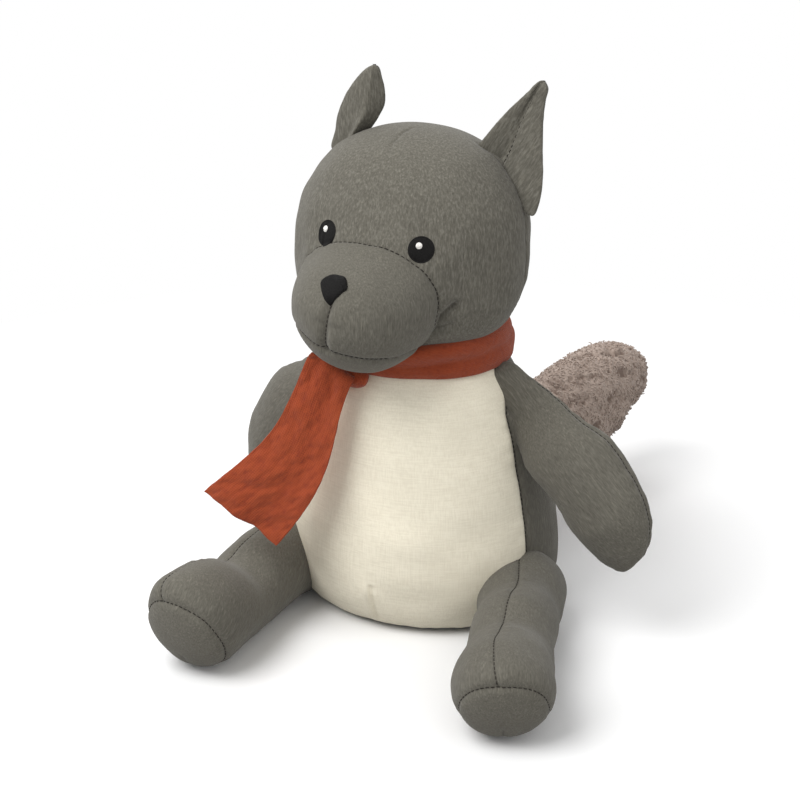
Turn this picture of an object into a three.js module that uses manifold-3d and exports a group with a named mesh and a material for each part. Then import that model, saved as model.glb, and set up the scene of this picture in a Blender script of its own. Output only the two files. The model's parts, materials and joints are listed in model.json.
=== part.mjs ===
// A sitting plush wolf with a scarf, sewn from cloth panels over soft filling.
// Millimetres, +Z up. The wolf faces -Y, and left and right are its own: left is +X.
// The origin is the middle of the flat seat that it sits on.
import * as THREE from "three";
import { mergeVertices } from "three/addons/utils/BufferGeometryUtils.js";
import Module from "manifold-3d";

const wasm = await Module();
wasm.setup();

// Cloth, filling and gaps
const CLOTH = 1.4;
const FUR_CLOTH = 3;
const SEAM_GAP = 0.3;
const FILL_GAP = 0.3;
const JOINT_GAP = 0.4;

// Torso: a pear that stands on its seat and leans forward to the neck
const SEAT_HALF_WIDTH = 43;
const SEAT_HALF_DEPTH = 40;
const BELLY_HEIGHT = 40;
const BELLY_HALF_WIDTH = 58;
const BELLY_HALF_DEPTH = 54;
const CHEST_HEIGHT = 90;
const CHEST_HALF_WIDTH = 49;
const CHEST_HALF_DEPTH = 44;
const NECK_HEIGHT = 121;
const NECK_HALF_WIDTH = 37;
const NECK_HALF_DEPTH = 34;
const NECK_FORWARD = 9;
const SIDE_SEAM_FORWARD = 17;
const SEAT_SEAM_HEIGHT = 3;
const PELLET_BAG_RADIUS = 34;
const PELLET_BAG_HEIGHT = 22;

// Neck: a plug of filling that the head nods and turns on
const NECK_PLUG_RADIUS = 23;
const NECK_PLUG_GAP = 0.6;
const HEAD_LIFT = 6;

// Head and muzzle
const HEAD_TALL = 85;
const HEAD_HALF_WIDTH = 51.5;
const HEAD_HALF_DEPTH = 42;
const HEAD_FORWARD = 15;
const MUZZLE_HALF_WIDTH = 32;
const MUZZLE_HALF_HEIGHT = 26.5;
const MUZZLE_REACH = 73;
const MUZZLE_ROUND = 37;
const MUZZLE_DROP = 20;
const MUZZLE_ROOT_RAISE = 8;
const MUZZLE_ROOT_HALF_HEIGHT = 20;
const CHIN_SEAM_DROP = 14;

// Embroidery on the face
const THREAD_GAP = 0.3;
const EYE_DIAMETER = 10.6;
const EYE_SPREAD = 22;
const EYE_RAISE = 4.5;
const EYE_THREAD = 1;
const GLINT_DIAMETER = 2.8;
const GLINT_THREAD = 0.7;
const NOSE_WIDTH = 14;
const NOSE_HEIGHT = 12;
const NOSE_RAISE = 12.5;
const NOSE_THREAD = 1.2;

// Ears: two layers of cloth, creased along their length, that flop on the line where they are sewn.
// The left ear's crease stands forward. The right one is pleated back, so it is narrower and tips in.
const EAR_CLOTH = 1.4;
const EAR_ROOT = 7;
const EAR_BACK = 6;
const EAR_CREASE_SHARE = 1 / 3;
const EAR_SWING_ANGLE = 25;
const LEFT_EAR = {
  length: 42, halfWidth: 16, crease: 6, lowEnd: 53, highEnd: 81, leanAngle: 25, tiltAngle: 0,
};
const RIGHT_EAR = {
  length: 38, halfWidth: 10, crease: -5, lowEnd: 69, highEnd: 82, leanAngle: 54, tiltAngle: 12,
};

// Arms: flat flippers sewn into the side seams, that swing forward and back on them
const ARM_LENGTH = 77;
const ARM_HALF_WIDTH = 17.5;
const ARM_HALF_THICKNESS = 11.5;
const ARM_ROOT_HALF_THICKNESS = 4.5;
const SHOULDER_DROP = 27;
const SHOULDER_HEIGHT = NECK_HEIGHT - SHOULDER_DROP;
const LEFT_ARM_DROOP_ANGLE = 45;
const RIGHT_ARM_DROOP_ANGLE = 46;
const LEFT_ARM_BACK_ANGLE = 0;
const RIGHT_ARM_BACK_ANGLE = 42;
const ARM_MOST_BACK_ANGLE = 60;
const ARM_MOST_FORWARD_ANGLE = 25;

// Legs: stuffed tubes that lie on the floor and swing apart at the hip, each with a sole on its end
const LEG_LENGTH = 114;
const THIGH_RADIUS = 20.5;
const ANKLE_RADIUS = 17.5;
const FOOT_RADIUS = 20.5;
const SOLE_DEPTH = 12;
const HIP_SPREAD = 43;
const HIP_FORWARD = 14;
const LEFT_LEG_SPLAY_ANGLE = 26;
const RIGHT_LEG_SPLAY_ANGLE = 4;
const LEG_MOST_SPLAY_ANGLE = 38;
const LEG_LEAST_SPLAY_ANGLE = -4;

// Tail: a leaf of fur on a narrow root, that wags at the back seam
const TAIL_LENGTH = 132;
const TAIL_HALF_WIDTH = 19;
const TAIL_HALF_HEIGHT = 25;
const TAIL_ROUND = 52;
const TAIL_ROOT_HALF = 9;
const TAIL_ROOT_HEIGHT = 30;
const TAIL_RISE_ANGLE = 11;
const TAIL_TURN_ANGLE = 14;
const TAIL_WAG_ANGLE = 30;

// Scarf: one strip of cloth wound round the neck, knotted under the chin, with two hanging ends
const SCARF_CLOTH = 1.2;
const SCARF_HEIGHT = 14;
const SCARF_RAISE = 1;
const SCARF_BULGE = 6;
const SCARF_FOLD = 1.6;
const KNOT_HALF_WIDTH = 13;
const KNOT_HALF_HEIGHT = 7;
const KNOT_HALF_DEPTH = 7;
const KNOT_TURN_ANGLE = 22;
const SCARF_END_LENGTH = 78;
const SCARF_END_STAND_OFF_ANGLE = 10;
const SCARF_END_SLANT_ANGLE = 32;
const SCARF_END_TURN_ANGLE = 12;
const SCARF_END_TOP_WIDTH = 21;
const SCARF_END_WIDTH = 38;
const SCARF_END_FOLD = 2.5;
const SCARF_ENDS_APART = 3.5;

// Colours
const GREY = 0x74706a;
const CREAM = 0xe9e3d3;
const RUST = 0xa84a2b;
const BLACK = 0x1c1a19;
const WHITE = 0xf4f2ee;
const TAUPE = 0x95867c;
const FILLING = 0xf1efea;
const PELLETS = 0xcfd3d6;

// How finely the soft forms are drawn
const TORSO_SIDES = 20;
const HEAD_SIDES = 20;
const MUZZLE_SIDES = 14;
const LIMB_SIDES = 12;
const LIMB_RINGS = 7;
const SWING_STEP_ANGLE = 15;

const radians = THREE.MathUtils.degToRad;
const vector = (x, y, z) => new THREE.Vector3(x, y, z);
const X = vector(1, 0, 0);
const Y = vector(0, 1, 0);
const Z = vector(0, 0, 1);
const turned = (direction, axis, angle) => direction.clone().applyAxisAngle(axis, radians(angle));
const along = (point, direction, distance) => point.clone().addScaledVector(direction, distance);

// Solids and cuts

// A copy of a form with one vertex at each point
function merged(geometry) {
  const bare = new THREE.BufferGeometry();
  bare.setAttribute("position", geometry.attributes.position);
  bare.setIndex(geometry.index);
  return mergeVertices(bare, 1e-4);
}

function solidOf(geometry) {
  const { attributes, index } = merged(geometry);
  return new wasm.Manifold(
    new wasm.Mesh({
      numProp: 3,
      vertProperties: new Float32Array(attributes.position.array),
      triVerts: new Uint32Array(index.array),
    }),
  );
}

function geometryOf(solid) {
  const mesh = solid.getMesh();
  const geometry = new THREE.BufferGeometry();
  geometry.setAttribute("position", new THREE.BufferAttribute(mesh.vertProperties, 3));
  geometry.setIndex(new THREE.BufferAttribute(mesh.triVerts, 1));
  return geometry;
}

// A copy of a closed form, drawn in by a depth, or swelled by a negative one
function inset(geometry, depth) {
  const copy = merged(geometry);
  copy.computeVertexNormals();
  const { position, normal } = copy.attributes;
  for (let i = 0; i < position.count; i += 1) {
    position.setXYZ(
      i,
      position.getX(i) - depth * normal.getX(i),
      position.getY(i) - depth * normal.getY(i),
      position.getZ(i) - depth * normal.getZ(i),
    );
  }
  return copy;
}

// A closed form through elliptical rings, ending in a point before the first and after the last
function loft(rings, firstPoint, lastPoint, sides) {
  const points = [];
  const faces = [];
  rings.forEach(({ centre, across, over }) => {
    for (let side = 0; side < sides; side += 1) {
      const angle = (2 * Math.PI * side) / sides;
      const point = along(along(centre, across, Math.cos(angle)), over, Math.sin(angle));
      points.push(...point.toArray());
    }
  });
  const first = rings.length * sides;
  const last = first + 1;
  points.push(...firstPoint.toArray(), ...lastPoint.toArray());
  for (let side = 0; side < sides; side += 1) {
    const next = (side + 1) % sides;
    faces.push(first, next, side);
    for (let ring = 0; ring < rings.length - 1; ring += 1) {
      const low = ring * sides;
      const high = low + sides;
      faces.push(low + side, low + next, high + next, low + side, high + next, high + side);
    }
    const end = (rings.length - 1) * sides;
    faces.push(last, end + side, end + next);
  }
  const geometry = new THREE.BufferGeometry();
  geometry.setAttribute("position", new THREE.Float32BufferAttribute(points, 3));
  geometry.setIndex(faces);
  return geometry;
}

// A closed layer of cloth between two offsets from a surface of u from -1 to 1 and v from 0 to 1
function layer(surface, low, high, columns, rows) {
  const step = 1e-3;
  const points = [[], []];
  for (let row = 0; row <= rows; row += 1) {
    for (let column = 0; column <= columns; column += 1) {
      const u = (2 * column) / columns - 1;
      const v = row / rows;
      const alongU = surface(u + step, v).sub(surface(u - step, v));
      const alongV = surface(u, v + step).sub(surface(u, v - step));
      const normal = alongU.cross(alongV).normalize();
      points[0].push(along(surface(u, v), normal, low));
      points[1].push(along(surface(u, v), normal, high));
    }
  }
  const width = columns + 1;
  const count = width * (rows + 1);
  const quads = [];
  for (let row = 0; row < rows; row += 1) {
    for (let column = 0; column < columns; column += 1) {
      const corner = row * width + column;
      quads.push([corner, corner + width, corner + width + 1, corner + 1]);
      quads.push([corner, corner + 1, corner + width + 1, corner + width].map((i) => i + count));
    }
  }
  const rim = [];
  for (let column = 0; column < columns; column += 1) rim.push(column);
  for (let row = 0; row < rows; row += 1) rim.push(row * width + columns);
  for (let column = columns; column > 0; column -= 1) rim.push(rows * width + column);
  for (let row = rows; row > 0; row -= 1) rim.push(row * width);
  rim.forEach((corner, i) => {
    const next = rim[(i + 1) % rim.length];
    quads.push([corner, next, next + count, corner + count]);
  });
  const geometry = new THREE.BufferGeometry().setFromPoints([...points[0], ...points[1]]);
  geometry.setIndex(quads.flatMap(([a, b, c, d]) => [a, b, c, a, c, d]));
  return geometry;
}

// The half of space that a direction points into, a little way back from a seam
function sideOf(point, direction) {
  const reach = 4 * (NECK_HEIGHT + HEAD_TALL);
  const box = new THREE.BoxGeometry(reach, reach, reach);
  const facing = new THREE.Quaternion().setFromUnitVectors(Z, direction.clone().normalize());
  const centre = along(point, direction.clone().normalize(), reach / 2 + SEAM_GAP / 2);
  return solidOf(box.applyMatrix4(new THREE.Matrix4().compose(centre, facing, vector(1, 1, 1))));
}

// The cloth cover and the filling of one stuffed form
function stuffed(form, wall) {
  const cover = solidOf(form).subtract(solidOf(inset(form, wall)));
  const filling = solidOf(inset(form, wall + FILL_GAP));
  return { cover, filling };
}

function rotated(geometry, pivot, axis, angle) {
  const spin = new THREE.Matrix4().makeRotationAxis(axis, radians(angle));
  const there = new THREE.Matrix4().makeTranslation(pivot);
  const back = new THREE.Matrix4().makeTranslation(pivot.clone().negate());
  return geometry.clone().applyMatrix4(there.multiply(spin).multiply(back));
}

// All places that a fixed form takes, seen from a piece that swings past it on a hinge
function sweptBy(form, { pivot, axis, from, to }) {
  const steps = Math.ceil((to - from) / SWING_STEP_ANGLE);
  const swollen = inset(form, -JOINT_GAP);
  let swept = solidOf(swollen);
  for (let step = 0; step <= steps; step += 1) {
    const angle = from + ((to - from) * step) / steps;
    swept = swept.add(solidOf(rotated(swollen, pivot, axis, -angle)));
  }
  return swept;
}

// The scene: one group for each moving body, set on its joint with the hinge along its own z axis

const wolf = new THREE.Group();

function bodyAt(parent, name, pivot, axis) {
  const group = new THREE.Group();
  group.name = name;
  const facing = new THREE.Quaternion().setFromUnitVectors(Z, axis);
  const world = new THREE.Matrix4().compose(pivot, facing, vector(1, 1, 1));
  parent.updateWorldMatrix(true, false);
  group.applyMatrix4(parent.matrixWorld.clone().invert().multiply(world));
  parent.add(group);
  group.updateWorldMatrix(true, false);
  return group;
}

function addPiece(body, name, solid, color) {
  const geometry = geometryOf(solid).applyMatrix4(body.matrixWorld.clone().invert());
  const material = new THREE.MeshStandardMaterial({ color, roughness: 0.95, metalness: 0 });
  const mesh = new THREE.Mesh(geometry, material);
  mesh.name = name;
  body.add(mesh);
}

// Torso form

const NECK_ROUND = 5;
const torsoProfile = new THREE.CatmullRomCurve3([
  vector(0, SEAT_HALF_WIDTH, SEAT_HALF_DEPTH),
  vector(
    0.3 * BELLY_HEIGHT,
    (SEAT_HALF_WIDTH + 3 * BELLY_HALF_WIDTH) / 4,
    (SEAT_HALF_DEPTH + 3 * BELLY_HALF_DEPTH) / 4,
  ),
  vector(BELLY_HEIGHT, BELLY_HALF_WIDTH, BELLY_HALF_DEPTH),
  vector(CHEST_HEIGHT, CHEST_HALF_WIDTH, CHEST_HALF_DEPTH),
  vector(NECK_HEIGHT - NECK_ROUND, NECK_HALF_WIDTH, NECK_HALF_DEPTH),
  vector(NECK_HEIGHT, NECK_HALF_WIDTH - 2 * NECK_ROUND, NECK_HALF_DEPTH - 2 * NECK_ROUND),
]);
const TORSO_RINGS = 10;

// How far forward the torso's middle lies at a height
const leanAt = (height) => NECK_FORWARD * THREE.MathUtils.smoothstep(height, 0, NECK_HEIGHT);

// The half sizes of a form at a height, read off its profile
function sectionAt(profile, height) {
  let low = 0;
  let high = 1;
  for (let step = 0; step < 40; step += 1) {
    const middle = (low + high) / 2;
    if (profile.getPoint(middle).x < height) low = middle;
    else high = middle;
  }
  const { y, z } = profile.getPoint(low);
  return { halfWidth: y, halfDepth: z };
}

function levelRings(profile, count, middleAt, bottom) {
  const rings = [];
  for (let ring = 0; ring <= count; ring += 1) {
    const { x, y, z } = profile.getPoint(ring / count);
    const centre = vector(0, -middleAt(x), bottom + x);
    rings.push({ centre, across: vector(y, 0, 0), over: vector(0, z, 0) });
  }
  return rings;
}

function levelForm(profile, count, middleAt, bottom, sides) {
  const rings = levelRings(profile, count, middleAt, bottom);
  return loft(rings, rings[0].centre, rings[count].centre, sides);
}

const torsoForm = levelForm(torsoProfile, TORSO_RINGS, leanAt, 0, TORSO_SIDES);

// A point of the torso's side seam, on the left for a side of 1 and on the right for -1
function sideSeamAt(height, side) {
  const { halfWidth, halfDepth } = sectionAt(torsoProfile, height);
  const forward = (SIDE_SEAM_FORWARD - leanAt(height)) / halfDepth;
  return vector(side * halfWidth * Math.sqrt(1 - forward * forward), -SIDE_SEAM_FORWARD, height);
}

// Neck plug, round so that the head turns and nods on it

const neckPivot = vector(0, -NECK_FORWARD, NECK_HEIGHT + HEAD_LIFT / 2);
const ball = (radius) =>
  solidOf(new THREE.SphereGeometry(radius, 20, 12).rotateX(Math.PI / 2).translate(...neckPivot));
const neckSocket = ball(NECK_PLUG_RADIUS + NECK_PLUG_GAP);

// Torso pieces

const torso = bodyAt(wolf, "torso", vector(0, 0, 0), Z);
const sideSeam = vector(0, -SIDE_SEAM_FORWARD, 0);
const front = sideOf(sideSeam, Y.clone().negate());
const rear = sideOf(sideSeam, Y);
const leftHalf = sideOf(vector(0, 0, 0), X);
const rightHalf = sideOf(vector(0, 0, 0), X.clone().negate());

const torsoStuffed = stuffed(torsoForm, CLOTH);
const seatSeam = vector(0, 0, SEAT_SEAM_HEIGHT);
const seatCover = torsoStuffed.cover.intersect(sideOf(seatSeam, Z.clone().negate()));
const torsoCover = torsoStuffed.cover.subtract(neckSocket).intersect(sideOf(seatSeam, Z));
addPiece(torso, "seat_panel", seatCover, GREY);
addPiece(torso, "belly_panel", torsoCover.intersect(front), CREAM);
addPiece(torso, "back_panel_left", torsoCover.intersect(rear).intersect(leftHalf), GREY);
addPiece(torso, "back_panel_right", torsoCover.intersect(rear).intersect(rightHalf), GREY);

function pelletBag(grow) {
  const bottom = CLOTH + FILL_GAP;
  const bag = new THREE.SphereGeometry(1, 18, 10).rotateX(Math.PI / 2);
  const radius = PELLET_BAG_RADIUS + grow;
  bag.scale(radius, radius, PELLET_BAG_HEIGHT + grow).translate(0, 0, bottom);
  return solidOf(bag);
}
const bagRoom = sideOf(vector(0, 0, CLOTH + FILL_GAP), Z);
addPiece(torso, "pellet_bag", pelletBag(0).intersect(bagRoom), PELLETS);
addPiece(
  torso,
  "body_stuffing",
  torsoStuffed.filling.subtract(neckSocket).subtract(pelletBag(FILL_GAP)),
  FILLING,
);

// Head form

const headBottom = NECK_HEIGHT + HEAD_LIFT;
const headMiddle = vector(0, -HEAD_FORWARD, headBottom + HEAD_TALL / 2);
const HEAD_SHAPE = [
  [0, 0.56],
  [0.05, 0.76],
  [0.2, 0.945],
  [0.45, 1],
  [0.65, 0.95],
  [0.82, 0.77],
  [0.93, 0.51],
  [0.985, 0.25],
];
const headProfile = new THREE.CatmullRomCurve3(
  HEAD_SHAPE.map(([up, share]) =>
    vector(up * HEAD_TALL, share * HEAD_HALF_WIDTH, share * HEAD_HALF_DEPTH),
  ),
);
const HEAD_RINGS = 9;
const headRings = levelRings(headProfile, HEAD_RINGS, () => HEAD_FORWARD, headBottom);
const crown = vector(0, -HEAD_FORWARD, headBottom + HEAD_TALL);
const headForm = loft(headRings, headRings[0].centre, crown, HEAD_SIDES);

// A point of the head's surface at a height above its bottom and a distance behind its middle
function headSideAt(up, back, side) {
  const { halfWidth, halfDepth } = sectionAt(headProfile, up);
  const out = halfWidth * Math.sqrt(1 - (back / halfDepth) ** 2);
  return vector(side * out, back - HEAD_FORWARD, headBottom + up);
}

// Muzzle form, a round-ended pod along the head's forward direction

const forward = Y.clone().negate();
const muzzleMiddle = along(headMiddle, Z, -MUZZLE_DROP);
const MUZZLE_RINGS = 5;
const muzzleRings = [];
for (let ring = 0; ring < MUZZLE_RINGS; ring += 1) {
  const rounding = (Math.PI / 2) * (ring / MUZZLE_RINGS);
  const reach = MUZZLE_REACH - MUZZLE_ROUND * (1 - Math.sin(rounding));
  const share = Math.cos(rounding);
  muzzleRings.push({
    centre: along(muzzleMiddle, forward, reach),
    across: vector(share * MUZZLE_HALF_WIDTH, 0, 0),
    over: vector(0, 0, share * MUZZLE_HALF_HEIGHT),
  });
}
const muzzleRoot = {
  centre: along(along(muzzleMiddle, forward, HEAD_HALF_DEPTH / 3), Z, MUZZLE_ROOT_RAISE),
  across: vector(MUZZLE_HALF_WIDTH, 0, 0),
  over: vector(0, 0, MUZZLE_ROOT_HALF_HEIGHT),
};
const muzzleTip = along(muzzleMiddle, forward, MUZZLE_REACH);
const muzzleForm = loft([muzzleRoot, ...muzzleRings], muzzleRoot.centre, muzzleTip, MUZZLE_SIDES);

// Neck and head pieces

const neck = bodyAt(torso, "neck", neckPivot, X);
addPiece(neck, "neck_stuffing", ball(NECK_PLUG_RADIUS), FILLING);
const head = bodyAt(neck, "head", neckPivot, Z);

const headOuter = solidOf(headForm);
const muzzleOuter = solidOf(muzzleForm);
const headInner = solidOf(inset(headForm, CLOTH)).add(solidOf(inset(muzzleForm, CLOTH)));
const headFill = solidOf(inset(headForm, CLOTH + FILL_GAP)).add(
  solidOf(inset(muzzleForm, CLOTH + FILL_GAP)),
);
const headCover = headOuter.add(muzzleOuter).subtract(headInner).subtract(neckSocket);
const muzzleCover = headCover.subtract(solidOf(inset(headForm, -SEAM_GAP / 2)));
const skullCover = headCover.intersect(solidOf(inset(headForm, SEAM_GAP / 2)));
const chinSeam = along(muzzleMiddle, Z, -CHIN_SEAM_DROP);
const earSeam = vector(0, EAR_BACK - HEAD_FORWARD, 0);

addPiece(head, "muzzle_panel", muzzleCover.intersect(sideOf(chinSeam, Z)), GREY);
addPiece(head, "chin_panel", muzzleCover.intersect(sideOf(chinSeam, Z.clone().negate())), GREY);
addPiece(head, "face_panel", skullCover.intersect(sideOf(earSeam, forward)), GREY);
addPiece(head, "head_back_panel", skullCover.intersect(sideOf(earSeam, Y)), GREY);
addPiece(head, "head_stuffing", headFill.subtract(neckSocket), FILLING);

// Embroidery: patches of thread that follow the cloth under them

function patch(form, outline, low, high, point, facing) {
  const reach = 4 * high + EYE_DIAMETER;
  const prism = new THREE.ExtrudeGeometry(outline, { depth: reach, bevelEnabled: false });
  prism.translate(0, 0, -reach / 2);
  const side = vector(0, 0, 1).cross(facing).normalize();
  const upward = facing.clone().cross(side);
  const frame = new THREE.Matrix4().makeBasis(side, upward, facing).setPosition(point);
  prism.applyMatrix4(frame);
  const thread = solidOf(inset(form, -high)).subtract(solidOf(inset(form, -low)));
  return thread.intersect(solidOf(prism));
}

function disc(diameter) {
  const outline = new THREE.Shape();
  const corners = 12;
  for (let corner = 0; corner < corners; corner += 1) {
    const angle = (2 * Math.PI * corner) / corners;
    const x = (diameter / 2) * Math.cos(angle);
    const y = (diameter / 2) * Math.sin(angle);
    if (corner === 0) outline.moveTo(x, y);
    else outline.lineTo(x, y);
  }
  return outline;
}

for (const [name, side] of [["left", 1], ["right", -1]]) {
  const up = HEAD_TALL / 2 + EYE_RAISE;
  const { halfWidth, halfDepth } = sectionAt(headProfile, up);
  const deep = halfDepth * Math.sqrt(1 - (EYE_SPREAD / halfWidth) ** 2);
  const point = vector(side * EYE_SPREAD, -HEAD_FORWARD - deep, headBottom + up);
  const facing = vector(
    (side * EYE_SPREAD) / halfWidth ** 2,
    -deep / halfDepth ** 2,
    EYE_RAISE / (HEAD_TALL / 2) ** 2,
  ).normalize();
  const top = THREAD_GAP + EYE_THREAD;
  const eye = patch(headForm, disc(EYE_DIAMETER), THREAD_GAP, top, point, facing);
  const cheek = solidOf(inset(muzzleForm, -THREAD_GAP));
  addPiece(head, `eye_${name}`, eye.subtract(cheek), BLACK);
  const glintTop = top + THREAD_GAP + GLINT_THREAD;
  const glintPoint = along(point, Z, EYE_DIAMETER / 8);
  const glint = patch(
    headForm, disc(GLINT_DIAMETER), top + THREAD_GAP, glintTop, glintPoint, facing,
  );
  addPiece(head, `eye_glint_${name}`, glint, WHITE);
}

const noseOutline = new THREE.Shape();
noseOutline.moveTo(0, -NOSE_HEIGHT / 2);
noseOutline.quadraticCurveTo(NOSE_WIDTH / 2, 0, NOSE_WIDTH / 2, NOSE_HEIGHT / 4);
noseOutline.quadraticCurveTo(NOSE_WIDTH / 2, NOSE_HEIGHT / 2, 0, NOSE_HEIGHT / 2);
noseOutline.quadraticCurveTo(-NOSE_WIDTH / 2, NOSE_HEIGHT / 2, -NOSE_WIDTH / 2, NOSE_HEIGHT / 4);
noseOutline.quadraticCurveTo(-NOSE_WIDTH / 2, 0, 0, -NOSE_HEIGHT / 2);
const noseShare = Math.sqrt(1 - (NOSE_RAISE / MUZZLE_HALF_HEIGHT) ** 2);
const nosePoint = along(
  along(muzzleMiddle, Z, NOSE_RAISE),
  forward,
  MUZZLE_REACH - MUZZLE_ROUND * (1 - noseShare),
);
const noseFacing = vector(
  0,
  -noseShare / MUZZLE_ROUND,
  NOSE_RAISE / MUZZLE_HALF_HEIGHT ** 2,
).normalize();
addPiece(
  head,
  "nose",
  patch(muzzleForm, noseOutline, THREAD_GAP, THREAD_GAP + NOSE_THREAD, nosePoint, noseFacing),
  BLACK,
);

// Ears

function addEar(name, side, { length, halfWidth, crease, lowEnd, highEnd, leanAngle, tiltAngle }) {
  const low = headSideAt(lowEnd, EAR_BACK, side);
  const high = headSideAt(highEnd, EAR_BACK, side);
  const base = headSideAt((lowEnd + highEnd) / 2, EAR_BACK, side);
  const inward = high.sub(low).normalize();
  const hinge = inward.clone().multiplyScalar(-side);
  const outward = base.clone().sub(headMiddle);
  outward.addScaledVector(inward, -outward.dot(inward)).normalize();
  const facing = inward.clone().cross(outward).multiplyScalar(side);
  const rise = turned(outward, facing, -side * leanAngle);
  const width = turned(inward, facing, (-side * leanAngle) / 2);
  const surface = (u, v) => {
    const taper = Math.sqrt(Math.max(0, 1 - Math.abs(v) ** 1.8)) * (1 - 0.5 * v);
    const point = along(base, rise, (length + EAR_ROOT) * v - EAR_ROOT);
    point.addScaledVector(width, u * halfWidth * Math.max(0.06, taper));
    const innerSlope = (1 - u) / (1 - EAR_CREASE_SHARE);
    const outerSlope = (1 + u) / (1 + EAR_CREASE_SHARE);
    return point.addScaledVector(facing, crease * Math.min(innerSlope, outerSlope) * taper);
  };
  const half = SEAM_GAP / 2;
  const joint = { pivot: base, axis: hinge, from: -EAR_SWING_ANGLE, to: EAR_SWING_ANGLE };
  const skull = sweptBy(headForm, joint);
  const ear = bodyAt(head, `ear_${name}`, base, hinge);
  const layers = { outer: [half, half + EAR_CLOTH], inner: [-half - EAR_CLOTH, -half] };
  for (const [part, [from, to]] of Object.entries(layers)) {
    const sheet = rotated(layer(surface, from, to, 6, 7), base, hinge, tiltAngle);
    addPiece(ear, `ear_${name}_${part}`, solidOf(sheet).subtract(skull), GREY);
  }
}
addEar("left", 1, LEFT_EAR);
addEar("right", -1, RIGHT_EAR);

// Scarf band form: cloth wound round the neck in lengthwise folds

const scarfProfile = [
  [0, 0.45],
  [0.14, 0.85],
  [0.3, 1],
  [0.46, 1 - SCARF_FOLD / SCARF_BULGE],
  [0.62, 1],
  [0.78, 1 - SCARF_FOLD / SCARF_BULGE],
  [0.9, 0.85],
  [1, 0.5],
];
const scarfBottom = NECK_HEIGHT + SCARF_RAISE - SCARF_HEIGHT;
const scarfRings = scarfProfile.map(([up, share]) => ({
  centre: vector(0, -NECK_FORWARD, scarfBottom + up * SCARF_HEIGHT),
  across: vector(NECK_HALF_WIDTH + share * SCARF_BULGE, 0, 0),
  over: vector(0, NECK_HALF_DEPTH + share * SCARF_BULGE, 0),
}));
const scarfForm = loft(scarfRings, scarfRings[0].centre, scarfRings.at(-1).centre, TORSO_SIDES);

// Limbs: rings along a straight line, with a round end

function limbForm(root, direction, across, length, roundEnd, halfSizesAt) {
  const over = direction.clone().cross(across).normalize();
  const rings = [];
  for (let ring = 0; ring < LIMB_RINGS; ring += 1) {
    const share = (1 - Math.cos((Math.PI * (ring + 1)) / (LIMB_RINGS + 1))) / 2;
    const distance = ring === 0 ? 0 : share * length;
    const past = Math.max(0, (distance - length + roundEnd) / roundEnd);
    const rounding = Math.sqrt(1 - past * past);
    const [halfAcross, halfOver] = halfSizesAt(distance / length);
    rings.push({
      centre: along(root, direction, distance),
      across: across.clone().multiplyScalar(halfAcross * rounding),
      over: over.clone().multiplyScalar(halfOver * rounding),
    });
  }
  return loft(rings, root, along(root, direction, length), LIMB_SIDES);
}

// Arms

function addArm(name, side, droop, back) {
  const shoulder = sideSeamAt(SHOULDER_HEIGHT, side);
  const upper = sideSeamAt(SHOULDER_HEIGHT + ARM_HALF_WIDTH, side);
  const lower = sideSeamAt(SHOULDER_HEIGHT - ARM_HALF_WIDTH, side);
  const hinge = upper.sub(lower).normalize();
  const outward = vector(side, 0, 0);
  const direction = turned(outward, Y, side * droop);
  const across = Y.clone().cross(direction).multiplyScalar(-side).normalize();
  const inside = ARM_HALF_WIDTH;
  const root = along(shoulder, direction, -inside);
  const form = limbForm(root, direction, across, ARM_LENGTH + inside, ARM_HALF_WIDTH, (share) => {
    const swell = THREE.MathUtils.smoothstep(share, 0.1, 0.5);
    return [ARM_HALF_WIDTH, THREE.MathUtils.lerp(ARM_ROOT_HALF_THICKNESS, ARM_HALF_THICKNESS, swell)];
  });
  const rest = rotated(form, shoulder, hinge, side * back);
  const joint = {
    pivot: shoulder,
    axis: hinge.clone().multiplyScalar(side),
    from: -ARM_MOST_FORWARD_ANGLE - back,
    to: ARM_MOST_BACK_ANGLE - back,
  };
  const room = sweptBy(torsoForm, joint).add(sweptBy(scarfForm, joint));
  const { cover, filling } = stuffed(rest, CLOTH);
  const arm = bodyAt(torso, `arm_${name}`, shoulder, joint.axis);
  const rearward = turned(Y, hinge, side * back);
  const frontSide = sideOf(shoulder, rearward.clone().negate());
  const panels = cover.subtract(room);
  addPiece(arm, `arm_${name}_front_panel`, panels.intersect(frontSide), GREY);
  addPiece(arm, `arm_${name}_back_panel`, panels.intersect(sideOf(shoulder, rearward)), GREY);
  addPiece(arm, `arm_${name}_stuffing`, filling.subtract(room), FILLING);
}
addArm("left", 1, LEFT_ARM_DROOP_ANGLE, LEFT_ARM_BACK_ANGLE);
addArm("right", -1, RIGHT_ARM_DROOP_ANGLE, RIGHT_ARM_BACK_ANGLE);

// Legs

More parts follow.
